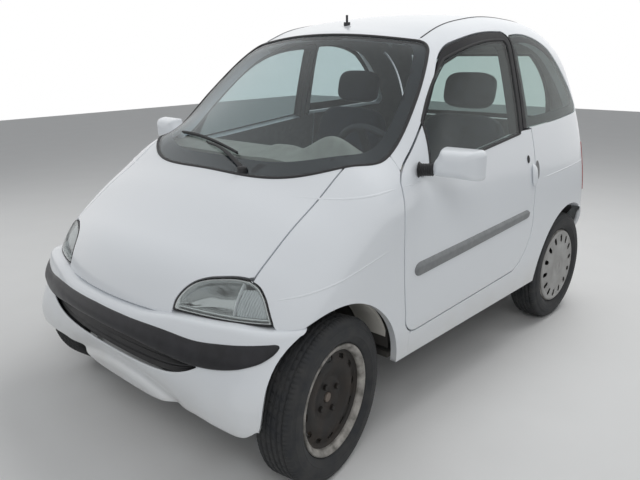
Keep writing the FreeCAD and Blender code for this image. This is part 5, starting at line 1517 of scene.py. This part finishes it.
def mirrorPane(name):
    # The glass and its dark edge, set in the housing's back
    back = mirrorValues["back"]
    centre = mirrorOutline.mean(0)
    made = []
    for word, share, low, high, material in (("edge", 0.93, -0.004, 0.0010, rubber),
                                             ("glass", 0.86, -0.003, 0.0018, mirrorGlass)):
        flat = centre + (mirrorOutline - centre) * share
        rings = [np.insert(flat, 1, back + k, axis=1) for k in (low, high)]
        made.append(ringMesh(f"{name}_{word}", np.array(rings), material, smooth=False))
    return made


def bothSides(pieces, slot, node, hide=True):
    # Fits left pieces and their mirror images to a pair of nodes named with {}
    for piece in pieces:
        other = twin(piece, piece.name.replace("left", "right"))
        for obj, word in ((piece, "left"), (other, "right")):
            fit(obj, slot, node.format(word), hide=hide)


bothSides([mirrorHousing("mirror_left_housing")], "white_paint", "mirror_{}")
bothSides([mirrorArm("mirror_left_sleeve")], "black_plastic", "mirror_{}")
bothSides(mirrorPane("mirror_left_pane"), "black_plastic", "mirror_{}")

rubValues = {"lowFront": (-0.468, 0.573), "highFront": (-0.468, 0.622), "lowRear": (0.383, 0.614),
             "highRear": (0.383, 0.651), "out": 0.0095, "rounding": 0.035}


def rubStrip(name):
    # A bevelled strip on the door: sections of (up, out) along its middle line, narrowed to round ends
    r = rubValues
    t = (1 - np.cos(np.linspace(0, math.pi, 90))) / 2
    low, high = between(r["lowFront"], r["lowRear"], t), between(r["highFront"], r["highRear"], t)
    middle, half = (low + high) / 2, (high - low)[:, 1] / 2
    end = np.minimum(t, 1 - t) / r["rounding"]
    narrow = np.sqrt(np.clip(1 - (1 - np.clip(end, 0, 1)) ** 2, 0.002, 1))
    up = np.array((-1, -0.96, -0.82, 0.30, 0.42, 0.90, 1.0))
    out = np.array((0.0, 0.35, 0.62, 1.0, 0.98, 0.30, 0.0))
    y = np.broadcast_to(middle[:, :1], (len(t), len(up)))
    z = middle[:, 1:] + up[None] * (half * narrow)[:, None]
    face = onSide(y.ravel(), z.ravel())
    normal = surfaceNormals(face)
    grow = (out[None] * (r["out"] * np.minimum(narrow * 1.3, 1))[:, None]).ravel()
    rings = (face + normal * grow[:, None]).reshape(len(t), len(up), 3)
    back = (face - normal * 0.002).reshape(len(t), len(up), 3)[:, [-1, 0]]
    return ringMesh(name, np.concatenate((rings, back), 1), greyStrip)


bothSides([rubStrip("rub_strip_left_moulding")], "grey_plastic", "rub_strip_{}")


def trim(name, points, width, height):
    # A low ridge of the body's own colour along side points, fading at its ends
    p = onSide(*route([("start", points[0])] + [("line", q) for q in points[1:]]).T)
    ends = np.minimum(np.arange(len(p)), np.arange(len(p))[::-1])
    scale = np.clip((ends + 0.3) / 4, 0, 1)
    profile = halfRound(width, height, -0.003)
    return sweep(name, p, surfaceNormals(p), profile, paint, scale=np.stack((scale, scale), 1))


def windowSeal(name, outline):
    # A half-round rubber line just outside the window's outline
    p = onSide(*grown(outline, 0.002).T)
    return sweep(name, p, surfaceNormals(p), halfRound(0.0055, 0.0030, -0.004), rubber, True)


# Creases pressed in the panels: panel, name, half width, height, then (along, up) points
creaseTable = (
    ("door", "swage", 0.005, 0.0009, ((-0.497, 0.887), (-0.445, 0.890), (-0.380, 0.894))),
    ("wing", "crease", 0.005, 0.0010, ((-1.030, 0.634), (-0.820, 0.664), (-0.601, 0.703))),
    ("wing", "shoulder", 0.006, 0.0009, ((-0.784, 0.871), (-0.530, 0.886))),
    ("body_side", "crease", 0.005, 0.0010, ((0.524, 0.763), (0.820, 0.771), (1.040, 0.779))),
)
bothSides([windowSeal("door_left_window_seal", windowOutline)], "black_plastic", "door_{}", hide=False)
for panel, word, width, height, points in creaseTable:
    crease = trim(f"{panel}_left_{word}", points, width, height)
    bothSides([crease], "white_paint", panel + "_{}", hide=False)

handleValues = {"along": 0.4300, "low": 0.740, "high": 0.836, "half": 0.0200, "out": 0.017}


def doorHandle(name):
    # A flap standing on edge: round sections up the door, thicker in the middle
    h = handleValues
    t = np.linspace(-1, 1, 30)
    fat = np.clip(1 - np.abs(t) ** 3.2, 0.02, 1) ** 0.6
    base = onSide(h["along"], np.linspace(h["low"], h["high"], 30))
    n = surfaceNormals(base)
    along = np.array((0, 1.0, 0)) - n * n[:, 1:2]
    c, s = ellipse((0, 0.42), h["half"], 0.5, 24)
    rings = base[:, None] + along[:, None] * (c[None, :, None] * fat[:, None, None])
    rings = rings + n[:, None] * (s[None, :, None] * h["out"] * fat[:, None, None])
    return ringMesh(name, rings, paint)


def raisedDisc(name, ring, disc, material):
    # A disc on the body: sides from sunk below the skin to rim above it, and a top drawn in to share of its size
    n = surfaceNormals(ring)
    middle = ring.mean(0)
    top = middle + (ring - middle) * disc["share"] + n * disc["top"]
    return ringMesh(name, np.array([ring - n * disc["sunk"], ring + n * disc["rim"], top]), material)


lockDisc = {"sunk": 0.003, "rim": 0.002, "top": 0.004, "share": 0.8}
cupDisc = {"sunk": 0.004, "rim": 0.0006, "top": 0.0004, "share": 0.9}
# Painted shade: the handle's cup gets a dark grey paint that stands in for the shadow inside its recess, on a body
# that is white there
cupShadePaint = mottled("cupShadePaint", (0.16, 0.165, 0.17), (0.24, 0.245, 0.25), 0.5, 40)
handleCup = onSide(*ellipse((0.470, 0.806), 0.019, 0.040, 40))
doorLock = onSide(*ellipse((0.386, 0.862), 0.0095, 0.0165, 28))
tailLock = onRear(*ellipse((0, 0.650), 0.013, 0.013, 28))
bothSides([doorHandle("door_left_handle")], "white_paint", "door_{}", hide=False)
# A near-flush dark disc on the skin, painted shade where the handle's recess lies
cupShade = raisedDisc("body_side_left_cup", handleCup, cupDisc, cupShadePaint)
bothSides([cupShade], "white_paint", "body_side_{}", hide=False)
fit(raisedDisc("tailgate_lock", tailLock, lockDisc, rubber), "black_plastic", "tailgate", hide=False)
bothSides([raisedDisc("door_left_lock", doorLock, lockDisc, rubber)], "black_plastic", "door_{}", hide=False)

railLine = onTop(panelValues["roofHalf"] + 0.001, np.linspace(-0.060, 0.880, 80))
gutter = halfRound(0.0045, 0.0022, -0.004)
rail = sweep("body_side_left_gutter", railLine, surfaceNormals(railLine), gutter, rubber)
bothSides([rail], "black_plastic", "body_side_{}", hide=False)
print("stage: mirrors and mouldings")


# Wiper

wiperValues = {"pivot": (0.170, -0.751), "elbow": (-0.128, -0.671), "bladeStart": (0.088, -0.697),
               "bladeEnd": (-0.350, -0.619), "clear": 0.006, "lift": 0.016, "wide": 0.0085, "narrow": 0.0040,
               "armHeight": 0.007, "spineFoot": 0.0095, "spineRise": 0.004}


def buildWiper():
    # An arm that rises from its pivot and comes down on a thin blade that lies on the glass
    w = wiperValues
    t = np.linspace(0, 1, 40)
    p = onTop(*between(w["pivot"], w["elbow"], t).T)
    p[:, 2] += w["clear"] + w["lift"] * np.sin(np.clip(t * 1.1, 0, 1) * math.pi) ** 0.7
    width = w["wide"] + (w["narrow"] - w["wide"]) * t
    scale = np.stack((width, np.full(40, w["armHeight"])), 1)
    arm = sweep("wiper_arm", p, surfaceNormals(p), halfRound(1, 0.5, -0.5), rubber, scale=scale)
    q = onTop(*between(w["bladeStart"], w["bladeEnd"], t).T)
    n = surfaceNormals(q)
    blade = sweep("wiper_blade", q + n * 0.005, n, halfRound(0.0028, 0.004, -0.005), rubber)
    bow = w["spineFoot"] + w["spineRise"] * np.sin(t * math.pi)
    spine = sweep("wiper_spine", q + n * bow[:, None], n, halfRound(0.0045, 0.003, -0.002), rubber)
    base = p[0] - (0, 0, 0.004)
    circle = np.stack((*ellipse((0, 0), 1, 1, 28), np.zeros(28)), 1)
    # Radius and height of the pivot's cap, from its foot up
    cap = ((0.017, -0.010), (0.017, 0.008), (0.012, 0.013))
    stub = ringMesh("wiper_pivot", np.array([base + circle * r + (0, 0, z) for r, z in cap]), rubber)
    return joined("wiper_assembly", arm, blade, spine, stub)


fit(buildWiper(), "black_plastic", "wiper")
print("stage: wiper")


# Inside

beige = mottled("beige", (0.48, 0.44, 0.37), (0.60, 0.56, 0.475), 0.7, 20, bump=0.3, bumpScale=500)
darkPlastic = mottled("darkPlastic", (0.022, 0.022, 0.025), (0.035, 0.035, 0.038), 0.6, 30, bump=0.2)
dashValues = {
    "half": 0.634, "hoodAcross": 0.330, "hoodHalf": 0.130, "hoodRise": 0.078, "hoodAlong": -0.455, "hoodSpan": 0.045,
    "bulgeAcross": 0.060, "bulgeHalf": 0.075, "bulgeRise": 0.022, "bulgeSpan": 0.060, "shelfEnd": 0.345,
    "shelfFull": 0.400,
}
# The dashboard's section from its front edge over the shelf and down its face: share of the way, along, up
dashSection = np.array((
    (0.00, -0.535, 0.919), (0.25, -0.470, 0.939), (0.50, -0.405, 0.943), (0.75, -0.347, 0.921),
    (0.88, -0.334, 0.872), (1.00, -0.394, 0.705),
))
dashUnder = np.array(((-0.500, 0.702), (-0.530, 0.760)))


def dashboardTop():
    # One section after another across the car, with a hood before the driver and a low bulge beside it
    d = dashValues
    y, z = smoothBetween(dashSection[:, 0], dashSection[:, 1:], np.linspace(0, 1, 44)).T
    x, y = np.meshgrid(np.linspace(-d["half"], d["half"], 121), y)
    shelf = smoothStep(-y, d["shelfEnd"], d["shelfFull"])
    ahead = y - d["hoodAlong"]
    hood = np.exp(-((x - d["hoodAcross"]) / d["hoodHalf"]) ** 2 - (ahead / d["hoodSpan"]) ** 2)
    bulge = np.exp(-((x - d["bulgeAcross"]) / d["bulgeHalf"]) ** 4 - (ahead / d["bulgeSpan"]) ** 2)
    z = z[:, None] + (hood * d["hoodRise"] + bulge * d["bulgeRise"]) * shelf
    under = np.broadcast_to(dashUnder[..., None], (2, 2, x.shape[1]))
    x, y = np.concatenate((x, x[:2])), np.concatenate((y, under[:, 0]))
    rings = np.stack((x, y, np.concatenate((z, under[:, 1]))), -1)
    return ringMesh("dashboard_top", rings.transpose(1, 0, 2), beige)


fit(dashboardTop(), "beige_plastic", "dashboard")


def roundedBlock(name, middle, half, material, lean, power, pull=0.0, n=48):
    # A squared ellipsoid: cos and sin of two angles to a power below 1, leaned about the X axis
    u = np.linspace(-math.pi / 2, math.pi / 2, n // 2 + 1)[1:-1]
    v = np.linspace(0, 2 * math.pi, n, endpoint=False)
    cu, su, cv, sv = [np.sign(a) * np.abs(a) ** power for a in (np.cos(u), np.sin(u), np.cos(v), np.sin(v))]
    p = np.stack((cu[:, None] * cv, cu[:, None] * sv, np.broadcast_to(su[:, None], (len(u), n))), -1)
    p = p * half
    p[..., 2] *= 1 - pull * (p[..., 0] / half[0]) ** 2
    c, s = math.cos(lean), math.sin(lean)
    y = p[..., 1] * c + p[..., 2] * s
    z = p[..., 2] * c - p[..., 1] * s
    rings = np.stack((p[..., 0], y, z), -1) + middle
    return ringMesh(name, rings, material)


seatCloth = mottled("seatCloth", (0.016, 0.020, 0.032), (0.036, 0.044, 0.066), 0.9, 30, bump=0.04, bumpScale=400,
                    roughSpread=0.04, **{"Sheen Weight": 0.3})
# Each block of the left seat: middle, half sizes, lean, roundness and how far its sides are drawn in
seatTable = {
    "cushion": ((0.330, 0.105, 0.500), (0.215, 0.210, 0.060), -0.06, 0.42, -0.18),
    "back": ((0.330, 0.395, 0.760), (0.210, 0.060, 0.270), 0.22, 0.42, 0.0),
    "headrest": ((0.330, 0.487, 1.130), (0.125, 0.042, 0.080), 0.22, 0.55, 0.0),
    "plinth": ((0.330, 0.130, 0.372), (0.190, 0.190, 0.070), 0.0, 0.2, 0.0),
}


def buildSeat(word, side):
    # A cushion with raised sides, a leaning back and a headrest, on a hard plinth
    for part, (middle, half, lean, power, pull) in seatTable.items():
        hard = part == "plinth"
        place = np.array(middle) * (side, 1, 1)
        material = darkPlastic if hard else seatCloth
        block = roundedBlock(f"seat_{word}_{part}", place, np.array(half), material, lean, power, pull)
        fit(block, "black_plastic" if hard else "seat_cloth", "seats")


for word, side in sides:
    buildSeat(word, side)


def dress(material, *nodes):
    # CAD nodes that are shown as they are, with a finish
    for n in nodes:
        mesh = frame["nodes"][n].data
        mesh.materials.clear()
        mesh.materials.append(material)


undercoat = mottled("undercoat", (0.030, 0.029, 0.027), (0.065, 0.062, 0.056), 0.85, 18, bump=0.4)
castMetal = mottled("castMetal", (0.16, 0.155, 0.145), (0.27, 0.265, 0.25), 0.6, 24, 0.6, bump=0.4, bumpScale=250)
rustSteel = mottled("rustSteel", (0.10, 0.055, 0.035), (0.23, 0.20, 0.175), 0.7, 16, 0.4, bump=0.3)
silencerSteel = mottled("silencerSteel", (0.19, 0.17, 0.15), (0.32, 0.30, 0.28), 0.55, 12, 0.7, bump=0.2)
frameMetal = mottled("frameMetal", (0.36, 0.365, 0.37), (0.48, 0.485, 0.49), 0.5, 22, 0.7, bump=0.15)


linerValues = {"dark": (0.018, 0.018, 0.019), "pale": (0.62, 0.60, 0.55), "rear": (0.022, 0.022, 0.023),
               "paleStart": -0.80, "paleFull": -0.72, "rearStart": 0.2, "rearFull": 0.3}


def linerMaterial():
    # A wheel arch liner: dark before the front axle and over it, pale and dusty behind, and dark at the rear axle
    v = linerValues
    material = newMaterial("liner", v["pale"], 0.85)
    pale = placeAlong(material, "Y", v["paleStart"], v["paleFull"])
    tone = rampOf(material, pale, (0.0, v["dark"]), (1.0, v["pale"]))
    rear = placeAlong(material, "Y", v["rearStart"], v["rearFull"])
    mix = addNode(material, "ShaderNodeMix", data_type="RGBA")
    mix.inputs["B"].default_value = (*v["rear"], 1)
    joinNodes(material, (rear, mix.inputs["Factor"]), (tone, mix.inputs["A"]),
              (mix.outputs["Result"], shaderOf(material).inputs["Base Color"]))
    return material


dress(linerMaterial(), "wheelhouses", "inner_wings")
dress(undercoat, "floor_pan")


railValues = {"front": -1.0, "hangBelow": 0.219, "drawnUp": 0.235, "frontEnd": -1.140}


def rails():
    # The rails, with the front towing lug drawn up behind the bumper
    v = railValues
    mesh = frame["nodes"]["chassis_rails"].data.copy()
    co = np.zeros(len(mesh.vertices) * 3, np.float32)
    mesh.vertices.foreach_get("co", co)
    co = co.reshape(-1, 3)
    hanging = (co[:, 1] < v["front"]) & (co[:, 2] < v["hangBelow"])
    co[:, 2] = np.where(hanging, v["drawnUp"], co[:, 2])
    co[:, 1] = np.maximum(co[:, 1], v["frontEnd"])
    mesh.vertices.foreach_set("co", co.ravel())
    mesh.materials.clear()
    mesh.materials.append(frameMetal)
    return linked("chassis_rails_frame", mesh)


fit(rails(), "frame_aluminium", "chassis_rails")
dress(frameMetal, "cross_members")
dress(castMetal, "engine_block")
dress(rustSteel, "front_arms", "drive_shafts", "steering_rack", "knuckle_left", "knuckle_right", "rear_arms")
dress(silencerSteel, "silencer")
dress(darkPlastic, "steering_wheel", "steering_column", "antenna")
print("stage: inside")


# Stage, lights and camera

stageValues = {
    "cameraPlace": (1.846, -2.145, 1.318), "azimuth": 43.20, "elevation": 16.85, "roll": -0.81, "lens": 35.353,
    "sensor": 36, "floorColour": (0.80, 0.80, 0.79), "floorHalf": 12, "worldColour": (0.93, 0.96, 1.0),
    "worldLight": 0.30,
}
# Each light: name, place, target, size, power
lightTable = (
    ("keyLight", (3.2, -3.4, 3.6), (0, -0.3, 0.6), (2.6, 2.0), 55),
    ("fillLight", (-3.8, -2.2, 2.4), (0, 0, 0.7), (2.8, 2.2), 30),
    ("topLight", (0.6, 1.8, 4.2), (0, 0.2, 0.8), (3.0, 3.0), 95),
)


def addLight(name, place, target, size, power):
    # A soft light that glossy faces don't mirror
    light = bpy.data.lights.new(name, "AREA")
    light.shape = "RECTANGLE"
    light.size, light.size_y = size
    light.energy = power
    obj = linked(name, light)
    obj.location = place
    obj.rotation_euler = (Vector(target) - Vector(place)).to_track_quat("-Z", "Y").to_euler()
    obj.visible_glossy = False


def studio():
    # A floor, three lights and a sky that is white where it is seen and soft where it lights
    s = stageValues
    shade = tuple(c * 0.97 for c in s["floorColour"])
    floorMaterial = mottled("studioFloor", shade, s["floorColour"], 0.8, 3.0)
    corners = np.array([(-1, -1, 0), (1, -1, 0), (1, 1, 0), (-1, 1, 0.0)]) * s["floorHalf"]
    makeMesh("studio_floor", corners, [(0, 1, 2, 3)], [floorMaterial])
    world = bpy.data.worlds.new("studioWorld")
    bpy.context.scene.world = world
    world.use_nodes = True
    nodes = world.node_tree.nodes
    soft = nodes["Background"]
    soft.inputs["Color"].default_value = (*s["worldColour"], 1)
    soft.inputs["Strength"].default_value = s["worldLight"]
    white = addNode(world, "ShaderNodeBackground", Color=(1, 1, 1, 1), Strength=1.0)
    path = addNode(world, "ShaderNodeLightPath")
    seen, also = [addNode(world, "ShaderNodeMath", operation="ADD", use_clamp=True) for _ in range(2)]
    mix = addNode(world, "ShaderNodeMixShader")
    joinNodes(world, (path.outputs["Is Camera Ray"], seen.inputs[0]),
              (path.outputs["Is Transmission Ray"], seen.inputs[1]), (seen.outputs[0], also.inputs[0]),
              (path.outputs["Is Glossy Ray"], also.inputs[1]), (also.outputs[0], mix.inputs["Fac"]),
              (soft.outputs[0], mix.inputs[1]), (white.outputs[0], mix.inputs[2]),
              (mix.outputs[0], nodes["World Output"].inputs["Surface"]))
    for row in lightTable:
        addLight(*row)


def photoCamera():
    # The camera's axes from azimuth and elevation, then turned by roll
    s = stageValues
    camera = bpy.data.cameras.new("photoCamera")
    camera.sensor_width = s["sensor"]
    camera.lens = s["lens"]
    a, e, r = [math.radians(s[k]) for k in ("azimuth", "elevation", "roll")]
    back = Vector((math.sin(a) * math.cos(e), -math.cos(a) * math.cos(e), math.sin(e)))
    right = Vector((math.cos(a), math.sin(a), 0))
    upward = back.cross(right)
    turnedRight = right * math.cos(r) + upward * math.sin(r)
    turnedUp = -right * math.sin(r) + upward * math.cos(r)
    matrix = Matrix((turnedRight, turnedUp, back)).transposed().to_4x4()
    matrix.translation = Vector(s["cameraPlace"])
    obj = linked("photoCamera", camera)
    obj.matrix_world = matrix
    bpy.context.scene.camera = obj


studio()
photoCamera()
bpy.context.scene.view_settings.view_transform = "Standard"
print("stage: done")
